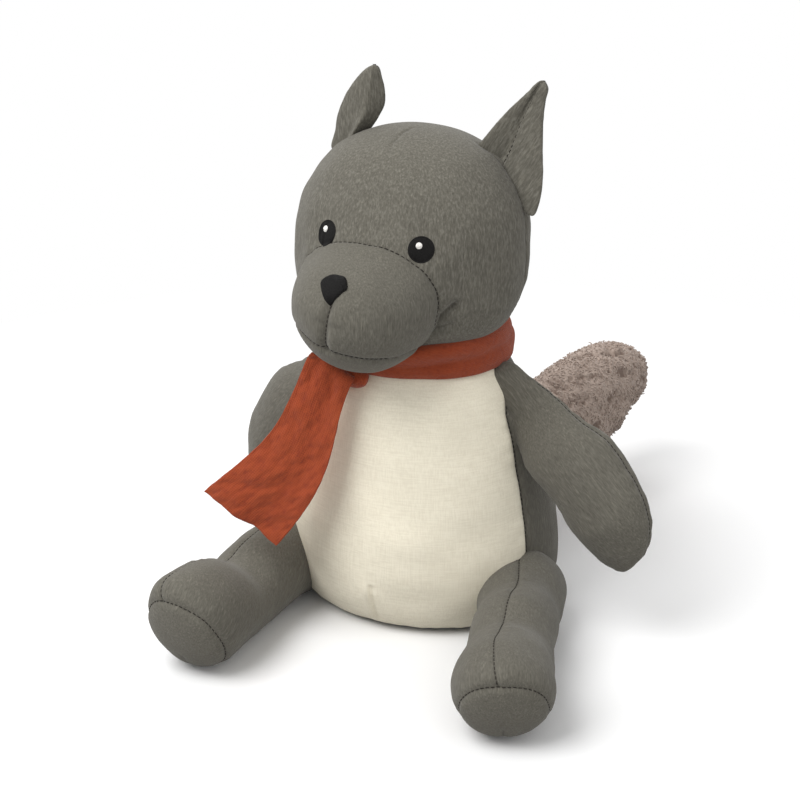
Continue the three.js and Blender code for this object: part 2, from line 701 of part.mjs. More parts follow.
function addLeg(name, side, splay) {
  const hip = vector(side * HIP_SPREAD, -HIP_FORWARD, Math.max(THIGH_RADIUS, FOOT_RADIUS));
  const direction = turned(forward, Z, side * splay);
  const across = direction.clone().cross(Z).normalize();
  const form = limbForm(hip, direction, across, LEG_LENGTH, FOOT_RADIUS, (share) => {
    const shin = THREE.MathUtils.smoothstep(share, 0.3, 0.6);
    const foot = THREE.MathUtils.smoothstep(share, 0.55, 0.85);
    const thin = THREE.MathUtils.lerp(THIGH_RADIUS, ANKLE_RADIUS, shin);
    const radius = THREE.MathUtils.lerp(thin, FOOT_RADIUS, foot);
    return [radius, radius];
  });
  const joint = {
    pivot: hip,
    axis: Z.clone().multiplyScalar(side),
    from: LEG_LEAST_SPLAY_ANGLE - splay,
    to: LEG_MOST_SPLAY_ANGLE - splay,
  };
  const room = sweptBy(torsoForm, joint);
  const { cover, filling } = stuffed(form, CLOTH);
  const leg = bodyAt(torso, `leg_${name}`, hip, joint.axis);
  const ankle = along(hip, direction, LEG_LENGTH - SOLE_DEPTH);
  const outward = across.clone().multiplyScalar(-side);
  const upper = cover.subtract(room).intersect(sideOf(ankle, direction.clone().negate()));
  const innerSide = sideOf(hip, outward.clone().negate());
  addPiece(leg, `leg_${name}_inner_panel`, upper.intersect(innerSide), GREY);
  addPiece(leg, `leg_${name}_outer_panel`, upper.intersect(sideOf(hip, outward)), GREY);
  addPiece(leg, `leg_${name}_sole`, cover.intersect(sideOf(ankle, direction)), GREY);
  addPiece(leg, `leg_${name}_stuffing`, filling.subtract(room), FILLING);
}
addLeg("left", 1, LEFT_LEG_SPLAY_ANGLE);
addLeg("right", -1, RIGHT_LEG_SPLAY_ANGLE);

// Tail: a leaf of fur along a line that rises from the back

const tailSection = sectionAt(torsoProfile, TAIL_ROOT_HEIGHT);
const tailPivot = vector(0, tailSection.halfDepth - leanAt(TAIL_ROOT_HEIGHT), TAIL_ROOT_HEIGHT);
const tailFlat = turned(Y, Z, -TAIL_TURN_ANGLE);
const tailSide = tailFlat.clone().cross(Z).normalize();
const tailDirection = turned(tailFlat, tailSide, TAIL_RISE_ANGLE);
const tailInside = 2 * TAIL_ROOT_HALF;
const tailForm = limbForm(
  along(tailPivot, tailDirection, -tailInside),
  tailDirection,
  tailSide,
  TAIL_LENGTH + tailInside,
  TAIL_ROUND,
  (share) => {
    const swell = THREE.MathUtils.smoothstep(share, 0, 0.6);
    return [
      THREE.MathUtils.lerp(TAIL_ROOT_HALF, TAIL_HALF_WIDTH, swell),
      THREE.MathUtils.lerp(TAIL_ROOT_HALF, TAIL_HALF_HEIGHT, swell),
    ];
  },
);
const tail = bodyAt(torso, "tail", tailPivot, Z);
const tailJoint = { pivot: tailPivot, axis: Z, from: -TAIL_WAG_ANGLE, to: TAIL_WAG_ANGLE };
const tailRoom = sweptBy(torsoForm, tailJoint);
const tailStuffed = stuffed(tailForm, FUR_CLOTH);
addPiece(tail, "tail_fur_cover", tailStuffed.cover.subtract(tailRoom), TAUPE);
addPiece(tail, "tail_stuffing", tailStuffed.filling.subtract(tailRoom), FILLING);

// Scarf band

const neckRoom = solidOf(inset(torsoForm, -FILL_GAP));
const scarfHole = scarfRings.map(({ centre }, i) => ({
  centre: along(centre, Z, (i - 3.5) * SCARF_HEIGHT),
  across: vector(NECK_HALF_WIDTH - SCARF_CLOTH, 0, 0),
  over: vector(0, NECK_HALF_DEPTH - SCARF_CLOTH, 0),
}));
const bandHole = solidOf(loft(scarfHole, scarfHole[0].centre, scarfHole.at(-1).centre, TORSO_SIDES));
const band = solidOf(scarfForm).subtract(neckRoom).subtract(bandHole);
addPiece(torso, "scarf_neck_band", band, RUST);

// Scarf knot, on the band under the chin and a little to the right

const knotFacing = turned(forward, Z, -KNOT_TURN_ANGLE);
const knotAcross = knotFacing.clone().cross(Z).normalize();
const bandOut = NECK_HALF_DEPTH + SCARF_BULGE;
const knotMiddle = along(vector(0, -NECK_FORWARD, scarfBottom + KNOT_HALF_HEIGHT), knotFacing, bandOut);
const knotForm = new THREE.SphereGeometry(1, 18, 12);
knotForm.applyMatrix4(
  new THREE.Matrix4()
    .makeBasis(
      knotAcross.clone().multiplyScalar(KNOT_HALF_WIDTH),
      knotFacing.clone().multiplyScalar(KNOT_HALF_DEPTH),
      Z.clone().multiplyScalar(KNOT_HALF_HEIGHT),
    )
    .setPosition(knotMiddle),
);
const knot = solidOf(knotForm).subtract(solidOf(inset(scarfForm, -FILL_GAP))).subtract(neckRoom);
addPiece(torso, "scarf_knot", knot, RUST);

// Scarf ends, slanting down to the right from the knot, with folds that open towards their hems

const endFacing = turned(forward, Z, SCARF_END_TURN_ANGLE);
const knotAngle = radians(KNOT_TURN_ANGLE + SCARF_END_TURN_ANGLE);
const knotReach = Math.hypot(
  KNOT_HALF_WIDTH * Math.sin(knotAngle),
  KNOT_HALF_DEPTH * Math.cos(knotAngle),
);
const endPivot = along(knotMiddle, endFacing, knotReach + SCARF_CLOTH / 2);
const endHang = turned(Z.clone().negate(), endFacing, -SCARF_END_SLANT_ANGLE);
const endAcross = endHang.clone().cross(endFacing).normalize();
const endDown = turned(endHang, endAcross, SCARF_END_STAND_OFF_ANGLE);
const endOut = turned(endFacing, endAcross, SCARF_END_STAND_OFF_ANGLE);
const scarfEnds = bodyAt(torso, "scarf_ends", endPivot, endAcross);

function addScarfEnd(name, ahead, aside, length) {
  const surface = (u, v) => {
    const half = THREE.MathUtils.lerp(SCARF_END_TOP_WIDTH, SCARF_END_WIDTH, v) / 2;
    const fold = SCARF_END_FOLD * v * Math.sin(1.5 * Math.PI * u);
    const point = along(endPivot, endDown, length * v);
    point.addScaledVector(endAcross, aside * v + u * half);
    return point.addScaledVector(endOut, fold + ahead);
  };
  const sheet = layer(surface, -SCARF_CLOTH / 2, SCARF_CLOTH / 2, 8, 8);
  addPiece(scarfEnds, name, solidOf(sheet), RUST);
}
addScarfEnd("scarf_end_front", SCARF_ENDS_APART, 0, SCARF_END_LENGTH);
const underLength = SCARF_END_LENGTH - SCARF_ENDS_APART;
addScarfEnd("scarf_end_under", 0, SCARF_ENDS_APART, underLength);

export default wolf;
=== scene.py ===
"""Looks of a sitting plush wolf with a scarf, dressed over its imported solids.

The frame is the part's own: metres, +Z up, the wolf faces -Y and its own left is +X.
Sizes in the classes are millimetres and angles are degrees, and meshes are written in metres.
"""

import json
import logging
import math
from collections.abc import Callable, Sequence
from dataclasses import dataclass, field
from enum import Enum

import bmesh
import bpy
import numpy as np
from mathutils import Matrix, Vector
from mathutils.bvhtree import BVHTree


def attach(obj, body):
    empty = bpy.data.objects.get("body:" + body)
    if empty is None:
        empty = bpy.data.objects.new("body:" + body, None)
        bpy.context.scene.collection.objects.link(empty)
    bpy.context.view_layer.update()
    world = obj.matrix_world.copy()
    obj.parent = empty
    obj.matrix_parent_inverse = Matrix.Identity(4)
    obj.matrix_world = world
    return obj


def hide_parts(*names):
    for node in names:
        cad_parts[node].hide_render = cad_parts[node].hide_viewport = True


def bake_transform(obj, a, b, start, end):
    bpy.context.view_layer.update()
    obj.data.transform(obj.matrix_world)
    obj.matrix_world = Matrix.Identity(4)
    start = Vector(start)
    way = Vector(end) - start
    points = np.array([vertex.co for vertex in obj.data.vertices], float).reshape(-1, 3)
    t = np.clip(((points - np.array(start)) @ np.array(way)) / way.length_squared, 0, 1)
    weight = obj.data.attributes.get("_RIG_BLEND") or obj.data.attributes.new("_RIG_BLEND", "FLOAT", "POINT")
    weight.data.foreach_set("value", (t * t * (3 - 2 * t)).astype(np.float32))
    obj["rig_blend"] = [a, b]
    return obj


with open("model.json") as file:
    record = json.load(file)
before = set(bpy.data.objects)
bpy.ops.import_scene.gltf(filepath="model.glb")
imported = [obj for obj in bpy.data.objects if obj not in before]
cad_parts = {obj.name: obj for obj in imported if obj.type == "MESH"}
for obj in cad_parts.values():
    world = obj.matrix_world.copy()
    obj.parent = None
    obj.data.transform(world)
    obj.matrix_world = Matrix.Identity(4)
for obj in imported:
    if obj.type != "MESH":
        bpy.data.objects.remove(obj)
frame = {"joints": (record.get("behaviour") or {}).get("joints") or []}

log = logging.getLogger("wolf")

Array = np.ndarray
Triple = tuple[float, float, float]
Colour = tuple[float, float, float, float]
Placing = Callable[[Array, Array], tuple[Array, Array]]
BMesh = bmesh.types.BMesh
Material = bpy.types.Material
Piece = bpy.types.Object
Socket = bpy.types.NodeSocket
MM = 0.001
X = np.array([1.0, 0.0, 0.0])
Y = np.array([0.0, 1.0, 0.0])
Z = np.array([0.0, 0.0, 1.0])
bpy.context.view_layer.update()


class Side(Enum):
    """The wolf's own left and right."""

    LEFT = 1
    RIGHT = -1

    @property
    def word(self) -> str:
        """The side's name as it stands in the names of the solids."""
        return self.name.lower()


# Numbers and lines


def unit(vectors: Array) -> Array:
    """Vectors scaled to a length of one."""
    return vectors / np.maximum(np.linalg.norm(vectors, axis=-1, keepdims=True), 1e-12)


def ease(value: Array | float, low: float, high: float) -> Array:
    """A soft step from 0 at low to 1 at high."""
    share = np.clip((np.asarray(value, float) - low) / (high - low), 0, 1)
    return share * share * (3 - 2 * share)


def turned(vector: Array, axis: Array, degrees: float) -> Array:
    """A vector turned about an axis through the origin."""
    return np.array(Matrix.Rotation(math.radians(degrees), 3, Vector(axis)) @ Vector(vector))


def smooth_line(knots: Array, count: int = 500) -> Array:
    """A smooth line through knots of any number of columns.

    Args:
        knots: One row for each knot.
        count: How many points the line gets.

    Returns:
        The points of the line, one row each.
    """
    steps = np.linalg.norm(np.diff(knots, axis=0), axis=1)
    run = np.concatenate([[0], np.cumsum(np.maximum(steps, 1e-6))])
    slope = np.diff(knots, axis=0) / np.diff(run)[:, None]
    before, after = np.diff(run)[:-1, None], np.diff(run)[1:, None]
    middle = (slope[:-1] * after + slope[1:] * before) / (before + after)
    tangent = np.vstack([slope[:1], middle, slope[-1:]])
    place = np.linspace(0, run[-1], count)
    index = np.clip(np.searchsorted(run, place, side="right") - 1, 0, len(run) - 2)
    gap = np.diff(run)[index][:, None]
    t = (place - run[index])[:, None] / gap
    return (
        (2 * t**3 - 3 * t**2 + 1) * knots[index]
        + (t**3 - 2 * t**2 + t) * gap * tangent[index]
        + (3 * t**2 - 2 * t**3) * knots[index + 1]
        + (t**3 - t**2) * gap * tangent[index + 1]
    )


def spaced(points: Array, step: float) -> Array:
    """The same line with its points a fixed step apart.

    Args:
        points: The line's points, with places in the first three columns.
        step: The new points' distance.

    Returns:
        The new points, with all columns.
    """
    run = np.concatenate([[0], np.cumsum(np.linalg.norm(np.diff(points[:, :3], axis=0), axis=1))])
    count = max(2, int(round(run[-1] / step)) + 1)
    place = np.linspace(0, run[-1], count)
    return np.stack([np.interp(place, run, column) for column in points.T], axis=1)


def ball_depth(share: Array) -> Array:
    """How deep a ball is at shares of its half width, but never quite flat."""
    return np.sqrt(np.maximum(1 - share**2, 0.02))


@dataclass(frozen=True)
class Lumps:
    """Smooth uneven swellings that never repeat, as in hand-stuffed cloth."""

    size: float
    seed: int
    waves: int = 16

    def __call__(self, points: Array, stretch: Sequence[float] = (1, 1, 1)) -> Array:
        """How high the swellings stand.

        Args:
            points: Where the heights are asked for.
            stretch: How much longer the lumps are along each axis.

        Returns:
            Heights of about -1 to 1.
        """
        rng = np.random.default_rng(self.seed)
        direction = unit(rng.normal(size=(self.waves, 3)))
        length = self.size * rng.uniform(0.7, 1.7, self.waves)
        phase = rng.uniform(0, 2 * np.pi, self.waves)
        angle = 2 * np.pi * (points / np.array(stretch)) @ direction.T / length + phase
        return np.sin(angle).sum(axis=1) / math.sqrt(self.waves)


@dataclass(frozen=True)
class Hinge:
    """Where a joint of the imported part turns."""

    place: Array
    axis: Array

    @classmethod
    def named(cls, name: str) -> "Hinge":
        """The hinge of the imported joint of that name."""
        joint = next(j for j in frame["joints"] if j["name"] == name)
        return cls(np.array(joint["pos_m"]) / MM, unit(np.array(joint["axis"], float)))


# Finishes


def srgb(red: int, green: int, blue: int) -> Colour:
    """A colour given as it looks on a screen, as the linear colour that shaders take."""
    part = np.array([red, green, blue]) / 255
    return (*np.where(part <= 0.04045, part / 12.92, ((part + 0.055) / 1.055) ** 2.4).tolist(), 1.0)


class Graph:
    """A material's nodes, with short calls for the ones used here."""

    def __init__(self, name: str, roughness: float, sheen: float, specular: float) -> None:
        """Starts a material with one shader.

        Args:
            name: The material's name.
            roughness: The shader's roughness all over.
            sheen: How much soft light the fibres give back at the edges.
            specular: How much the threads shine.
        """
        self.material = bpy.data.materials.new(name)
        self.material.use_nodes = True
        self.tree = self.material.node_tree
        self.tree.nodes.clear()
        fibres = {"Sheen Weight": sheen, "Sheen Roughness": 0.5, "Specular IOR Level": specular}
        self.shader = self.node("BsdfPrincipled", {"Roughness": roughness, **fibres})
        self.output = self.node("OutputMaterial", {"Surface": self.shader.outputs["BSDF"]})

    def put(self, socket: Socket, value: object) -> None:
        """Links a socket to another, or gives it a fixed value.

        Args:
            socket: The socket to fill.
            value: The other socket, or the fixed value.
        """
        if isinstance(value, Socket):
            self.tree.links.new(value, socket)
        else:
            socket.default_value = value

    def node(
        self, kind: str, inputs: dict[str | int, object], **settings: object
    ) -> bpy.types.Node:
        """A new node.

        Args:
            kind: The shader node's kind.
            inputs: What goes into its inputs.
            settings: Its other settings, which come first.

        Returns:
            The node.
        """
        node = self.tree.nodes.new(f"ShaderNode{kind}")
        for name, value in settings.items():
            setattr(node, name, value)
        for name, value in inputs.items():
            self.put(node.inputs[name], value)
        return node

    def attribute(self, name: str, output: str = "Vector") -> Socket:
        """One of the outputs of a piece's own attribute."""
        return self.node("Attribute", {}, attribute_name=name).outputs[output]

    def noise(
        self,
        vector: Socket,
        scale: Triple,
        detail: float = 2,
        rough: float = 0.5,
        turn: Triple = (0, 0, 0),
    ) -> Socket:
        """Cloudy values.

        Args:
            vector: The pattern's coordinates in metres.
            scale: How many clouds there are to the metre along each axis.
            detail: How many finer layers are added.
            rough: How strong these are.
            turn: How far the coordinates are turned about each axis.

        Returns:
            A socket with values from 0 to 1.
        """
        angles = [math.radians(angle) for angle in turn]
        place = self.node("Mapping", {"Vector": vector, "Scale": scale, "Rotation": angles})
        inputs = {"Scale": 1, "Detail": detail, "Roughness": rough}
        return self.node("TexNoise", {"Vector": place.outputs["Vector"], **inputs}).outputs["Fac"]

    def threads(self, vector: Socket, direction: str, scale: float, wander: float) -> Socket:
        """Parallel ridges of thread, with a little wander, as values from 0 to 1."""
        inputs = {"Scale": scale, "Distortion": wander, "Detail": 1, "Detail Scale": 0.4}
        bands = {"wave_type": "BANDS", "bands_direction": direction}
        return self.node("TexWave", {"Vector": vector, **inputs}, **bands).outputs["Fac"]

    def between(
        self, value: Socket, low: float, high: float, start: float = 0, end: float = 1
    ) -> Socket:
        """A value's place between low and high, given as a number from start to end."""
        inputs = {"Value": value, "From Min": low, "From Max": high, "To Min": start, "To Max": end}
        return self.node("MapRange", inputs, clamp=True).outputs["Result"]

    def sums(self, operation: str, first: object, second: object) -> Socket:
        """One operation on two numbers."""
        return self.node("Math", {0: first, 1: second}, operation=operation).outputs[0]

    def mixed(self, share: object, first: object, second: object) -> Socket:
        """A colour between two colours, with a share of the second in it."""
        inputs = {"Factor": share, 6: first, 7: second}
        return self.node("Mix", inputs, data_type="RGBA").outputs[2]

    def finish(
        self, colour: Socket, height: Socket, depth: float, strength: float
    ) -> Material:
        """Joins colour and surface relief to the shader.

        Args:
            colour: The base colour.
            height: The relief, from 0 to 1.
            depth: The relief's depth in millimetres.
            strength: How much of the relief is felt.

        Returns:
            The finished material.
        """
        self.put(self.shader.inputs["Base Color"], colour)
        bump = self.node("Bump", {"Strength": strength, "Distance": depth * MM, "Height": height})
        self.put(self.shader.inputs["Normal"], bump.outputs["Normal"])
        return self.material


@dataclass(frozen=True)
class NapCloth:
    """Soft grey cloth whose short fibres lie in streaks along the piece, with painted shade in its seams and
    creases.
    """

    name: str = "grey_nap_cloth"
    base: Colour = srgb(107, 104, 95)
    deep: Colour = srgb(88, 85, 77)
    pale: Colour = srgb(138, 134, 122)
    # Painted shade for seam grooves and creases, and the colour of the dark fibre flecks
    crease: Colour = srgb(56, 52, 47)
    # Painted shade for the deepest tucks
    tuck: Colour = srgb(38, 35, 32)
    fleck: Colour = srgb(158, 155, 145)
    flecked: float = 0.07

    def material(self) -> Material:
        """Makes the cloth's material.

        Returns:
            The material.
        """
        graph = Graph(self.name, roughness=0.95, sheen=0.12, specular=0.15)
        grain = graph.attribute("grain")
        fibres = graph.noise(grain, (1700, 1700, 260), 3, 0.65)
        crossed = graph.noise(grain, (2100, 2100, 420), turn=(12, -10, 0))
        loose = graph.noise(grain, (1300, 1300, 190), turn=(-7, 9, 0))
        cloud = graph.noise(grain, (38, 38, 30), 3)
        lay = graph.sums("MULTIPLY", fibres, 0.65)
        lay = graph.sums("ADD", lay, graph.sums("MULTIPLY", crossed, 0.35))
        colour = graph.mixed(graph.between(lay, 0.34, 0.6), self.deep, self.base)
        colour = graph.mixed(graph.between(cloud, 0.35, 0.7, 0, 0.28), colour, self.deep)
        colour = graph.mixed(graph.between(loose, 0.56, 0.76, 0, 0.4), colour, self.pale)
        tufts = graph.noise(grain, (1150, 1150, 330), 3, 0.6, (-6, 8, 0))
        colour = graph.mixed(graph.between(tufts, 0.32, 0.5, self.flecked, 0), colour, self.crease)
        colour = graph.mixed(graph.between(tufts, 0.5, 0.68, 0, self.flecked), colour, self.fleck)
        # Painted shade: seam grooves and creases darken towards the crease colour, the deepest tucks towards
        # the tuck colour
        sewn = graph.attribute("seam", "Fac")
        colour = graph.mixed(graph.between(sewn, 0.45, 1, 0, 0.55), colour, self.crease)
        colour = graph.mixed(graph.between(sewn, 1, 1.6, 0, 0.6), colour, self.tuck)
        return graph.finish(colour, lay, depth=0.4, strength=0.7)


@dataclass(frozen=True)
class Linen:
    """Cream cloth in a plain, slightly uneven weave, with painted shade in its seams."""

    name: str = "cream_linen"
    base: Colour = srgb(244, 237, 217)
    shade: Colour = srgb(233, 225, 204)
    # Painted shade for the grooves of seams
    crease: Colour = srgb(158, 146, 126)

    def material(self) -> Material:
        """Makes the cloth's material.

        Returns:
            The material.
        """
        graph = Graph(self.name, roughness=0.95, sheen=0.08, specular=0.15)
        grain = graph.attribute("grain")
        warp = graph.noise(grain, (1900, 1900, 130))
        weft = graph.noise(grain, (140, 140, 1900))
        crinkle = graph.noise(grain, (300, 300, 260), 3, 0.6)
        cloud = graph.noise(grain, (30, 30, 24), 3)
        weave = graph.sums("MULTIPLY", graph.sums("ADD", warp, weft), 0.5)
        colour = graph.mixed(graph.between(weave, 0.36, 0.6), self.shade, self.base)
        colour = graph.mixed(graph.between(crinkle, 0.58, 0.72, 0, 0.6), colour, self.shade)
        colour = graph.mixed(graph.between(cloud, 0.5, 0.75, 0, 0.3), colour, self.shade)
        # Painted shade: seam grooves darken towards the crease colour
        sewn = graph.attribute("seam", "Fac")
        colour = graph.mixed(graph.between(sewn, 0.3, 1, 0, 0.6), colour, self.crease)
        height = graph.sums("ADD", weave, graph.sums("MULTIPLY", crinkle, 0.9))
        return graph.finish(colour, height, depth=0.3, strength=0.6)


@dataclass(frozen=True)
class Gauze:
    """Rust-coloured crinkled gauze, woven along and across the strip, with painted shade in its crinkles'
    hollows.
    """

    name: str = "rust_gauze"
    base: Colour = srgb(156, 70, 40)
    bright: Colour = srgb(172, 83, 48)
    # The darker tone between threads, and the painted shade in the crinkles' hollows
    deep: Colour = srgb(118, 47, 32)

    def material(self) -> Material:
        """Makes the cloth's material.

        Returns:
            The material.
        """
        graph = Graph(self.name, roughness=0.9, sheen=0.15, specular=0.15)
        grain = graph.attribute("grain")
        warp, weft = (graph.threads(grain, way, scale=360, wander=2.5) for way in "XY")
        crinkle = graph.noise(grain, (430, 240, 430), 3, 0.6)
        cloud = graph.noise(grain, (70, 30, 70))
        weave = graph.sums("MULTIPLY", graph.sums("ADD", warp, weft), 0.5)
        # Painted shade: the crinkles' hollows, the low places of the relief below, are darker
        colour = graph.mixed(graph.between(crinkle, 0.2, 0.52, 0.25, 1), self.deep, self.base)
        colour = graph.mixed(graph.between(cloud, 0.45, 0.7, 0, 0.3), colour, self.bright)
        colour = graph.mixed(graph.between(weave, 0.15, 0.5, 0.35, 0), colour, self.deep)
        height = graph.sums("ADD", graph.sums("MULTIPLY", weave, 0.35), crinkle)
        return graph.finish(colour, height, depth=0.6, strength=0.9)


@dataclass(frozen=True)
class CurlFur:
    """Short taupe fur, darker between its curls, with painted shade in their hollows."""

    name: str = "taupe_fur"
    base: Colour = srgb(171, 154, 143)
    pale: Colour = srgb(202, 187, 175)
    # The darker tone between the curls, and the painted shade in their hollows
    deep: Colour = srgb(116, 98, 87)

    def material(self) -> Material:
        """Makes the fur's material.

        Returns:
            The material.
        """
        graph = Graph(self.name, roughness=0.85, sheen=0.2, specular=0.2)
        grain = graph.attribute("grain")
        curls = graph.noise(grain, (150, 150, 150))
        strands = graph.noise(grain, (1200, 1200, 500))
        colour = graph.mixed(graph.between(curls, 0.25, 0.5, 0.45, 1), self.deep, self.base)
        colour = graph.mixed(graph.between(strands, 0.5, 0.75, 0, 0.4), colour, self.pale)
        # Painted shade in the hollows between the curls, from the mesh's seam attribute
        pit_shade = graph.attribute("seam", "Fac")
        colour = graph.mixed(graph.between(pit_shade, 0, 1, 0, 0.85), colour, self.deep)
        return graph.finish(colour, strands, depth=0.3, strength=0.5)


@dataclass(frozen=True)
class Thread:
    """Sewing and embroidery thread with a fine twist."""

    name: str
    base: Colour
    shade: Colour
    roughness: float = 0.7

    def material(self) -> Material:
        """Makes the thread's material.

        Returns:
            The material.
        """
        graph = Graph(self.name, roughness=self.roughness, sheen=0.0, specular=0.15)
        place = graph.node("TexCoord", {}).outputs["Object"]
        twist = graph.noise(place, (2600, 2600, 2600))
        colour = graph.mixed(graph.between(twist, 0.35, 0.65), self.shade, self.base)
        return graph.finish(colour, twist, depth=0.1, strength=0.5)


class Finishes:
    """The wolf's materials, each made once."""

    def __init__(self) -> None:
        """Makes all of them."""
        self.grey = NapCloth().material()
        self.brushed = NapCloth("brushed_nap_cloth", flecked=0.21).material()
        self.cream = Linen().material()
        self.rust = Gauze().material()
        self.fur = CurlFur().material()
        self.black = Thread("black_thread", srgb(25, 24, 23), srgb(13, 12, 12)).material()
        self.dark = Thread("seam_thread", srgb(60, 56, 51), srgb(34, 31, 29), 0.8).material()
        self.white = Thread("white_thread", srgb(246, 244, 240), srgb(225, 222, 216)).material()


# Seams

# How far apart a seam's points are, and how many places are set against them at a time
SEAM_STEP = 0.7
BLOCK = 6000
# How far a seam's puckers and its line of painted shade reach, in widths of its groove
PUCKER_REACH = 3.2
SHADE_REACH = 0.55
# The puckers' length, and what tells one seam's from the next one's
RIPPLE = 5.0
RIPPLE_SEED = 11
RIPPLE_SHIFT = 37.0


@dataclass
class Seam:
    """A sewn line that draws the cloth in and darkens it with painted shade, with points close together and
    the way out at each.
    """

    points: Array
    normals: Array
    depth: float = 1.0
    width: float = 1.6
    pucker: float = 0.22
    stitched: bool = True
    fill: Array | float = 0.0
    fill_width: float = 7.0
    # How strongly the seam's groove is darkened by painted shade
    shade: float = 1.0

    @classmethod
    def along(cls, points: Array, normals: Array, **settings: object) -> "Seam":
        """A seam with evenly spaced points along a line.

        Args:
            points: The line's points.
            normals: The way out at each of them.
            settings: The seam's other fields.

        Returns:
            The seam.
        """
        even = spaced(np.column_stack([points, normals]), SEAM_STEP)
        return cls(even[:, :3], unit(even[:, 3:]), **settings)

    def run(self) -> Array:
        """How far along the seam each of its points lies."""
        steps = np.linalg.norm(np.diff(self.points, axis=0), axis=1)
        return np.concatenate([[0], np.cumsum(steps)])

    def near(self, points: Array) -> tuple[Array, Array]:
        """Finds the seam's places that are nearest to points.

        Args:
            points: Places of the cloth.

        Returns:
            How far each is from the seam, and how far along the seam its nearest place is.
        """
        distance, place = np.empty(len(points)), np.empty(len(points))
        run = self.run()
        for start in range(0, len(points), BLOCK):
            rows = slice(start, start + BLOCK)
            block = points[rows]
            square = (block**2).sum(1)[:, None] + (self.points**2).sum(1)[None]
            square -= 2 * block @ self.points.T
            distance[rows] = np.sqrt(np.maximum(square.min(axis=1), 0))
            place[rows] = run[square.argmin(axis=1)]
        return distance, place


def drawn_in(points: Array, normals: Array, seams: Sequence[Seam]) -> tuple[Array, Array]:
    """Cloth pulled in along its seams, with small puckers beside them and painted shade in their grooves.

    Args:
        points: Places of the cloth.
        normals: The way out at each place.
        seams: The seams that hold it.

    Returns:
        The new places, and the painted shade at each from the seams, from 0 to the seam's shade.
    """
    close = np.zeros(len(points))
    pull = np.zeros(len(points))
    for number, seam in enumerate(seams):
        distance, place = seam.near(points)
        groove = np.exp(-((distance / seam.width) ** 2))
        beside = np.exp(-((distance / (PUCKER_REACH * seam.width)) ** 2)) - groove
        shift = np.full_like(place, RIPPLE_SHIFT * number)
        along = np.column_stack([place, shift, np.zeros_like(place)])
        ripple = Lumps(RIPPLE, RIPPLE_SEED + number)(along)
        pull += seam.depth * groove - seam.pucker * ripple * beside
        fill = np.interp(place, seam.run(), np.broadcast_to(seam.fill, len(seam.points)))
        pull -= fill * np.exp(-((distance / seam.fill_width) ** 2))
        # Painted shade: the colour darkens in the groove, as much as the seam's shade
        dark = np.exp(-((distance / (SHADE_REACH * seam.width)) ** 2))
        close = np.maximum(close, seam.shade * dark)
    return points - normals * pull[:, None], close


# Soft forms

# The half size from which a form's filling swells in full, and how far cloth stays off the floor
FULL_HALF = 6
FLOOR_GAP = 0.1


def shown(name: str, mesh: bpy.types.Mesh, material: Material) -> Piece:
    """Puts a mesh into the scene.

    Args:
        name: The piece's name.
        mesh: Its mesh.
        material: Its only material.

    Returns:
        The new piece.
    """
    piece = bpy.data.objects.new(name, mesh)
    bpy.context.scene.collection.objects.link(piece)
    mesh.materials.clear()
    mesh.materials.append(material)
    return piece


def written(mesh: BMesh, points: Array, grain: Array, seam: Array) -> None:
    """Moves a mesh's points and notes the cloth's grain and its painted seam shade on them.

    Args:
        mesh: The mesh.
        points: A place in millimetres for each point.
        grain: The pattern's coordinates at each.
        seam: How much painted shade from the seams each gets.
    """
    grain_layer = mesh.verts.layers.float_vector.new("grain")
    seam_layer = mesh.verts.layers.float.new("seam")
    for vert, point, own, close in zip(mesh.verts, points * MM, grain * MM, seam):
        vert.co = point
        vert[grain_layer] = own
        vert[seam_layer] = close


def as_piece(
    name: str, mesh: BMesh, material: Material, wall: float = 0, offset: float = -1
) -> Piece:
    """A shaped mesh as a smooth piece.

    Args:
        name: The piece's name.
        mesh: The mesh, which is used up.
        material: What it is made of.
        wall: The cloth's thickness where the piece is an open panel, or 0 for a closed form.
        offset: Which way the wall grows from the mesh: -1 for inwards, 0 for both ways.

    Returns:
        The new piece.
    """
    for face in mesh.faces:
        face.smooth = True
    data = bpy.data.meshes.new(name)
    mesh.to_mesh(data)
    mesh.free()
    piece = shown(name, data, material)
    if wall:
        cloth = piece.modifiers.new("Cloth", "SOLIDIFY")
        cloth.thickness = wall * MM
        cloth.offset = offset
    return piece


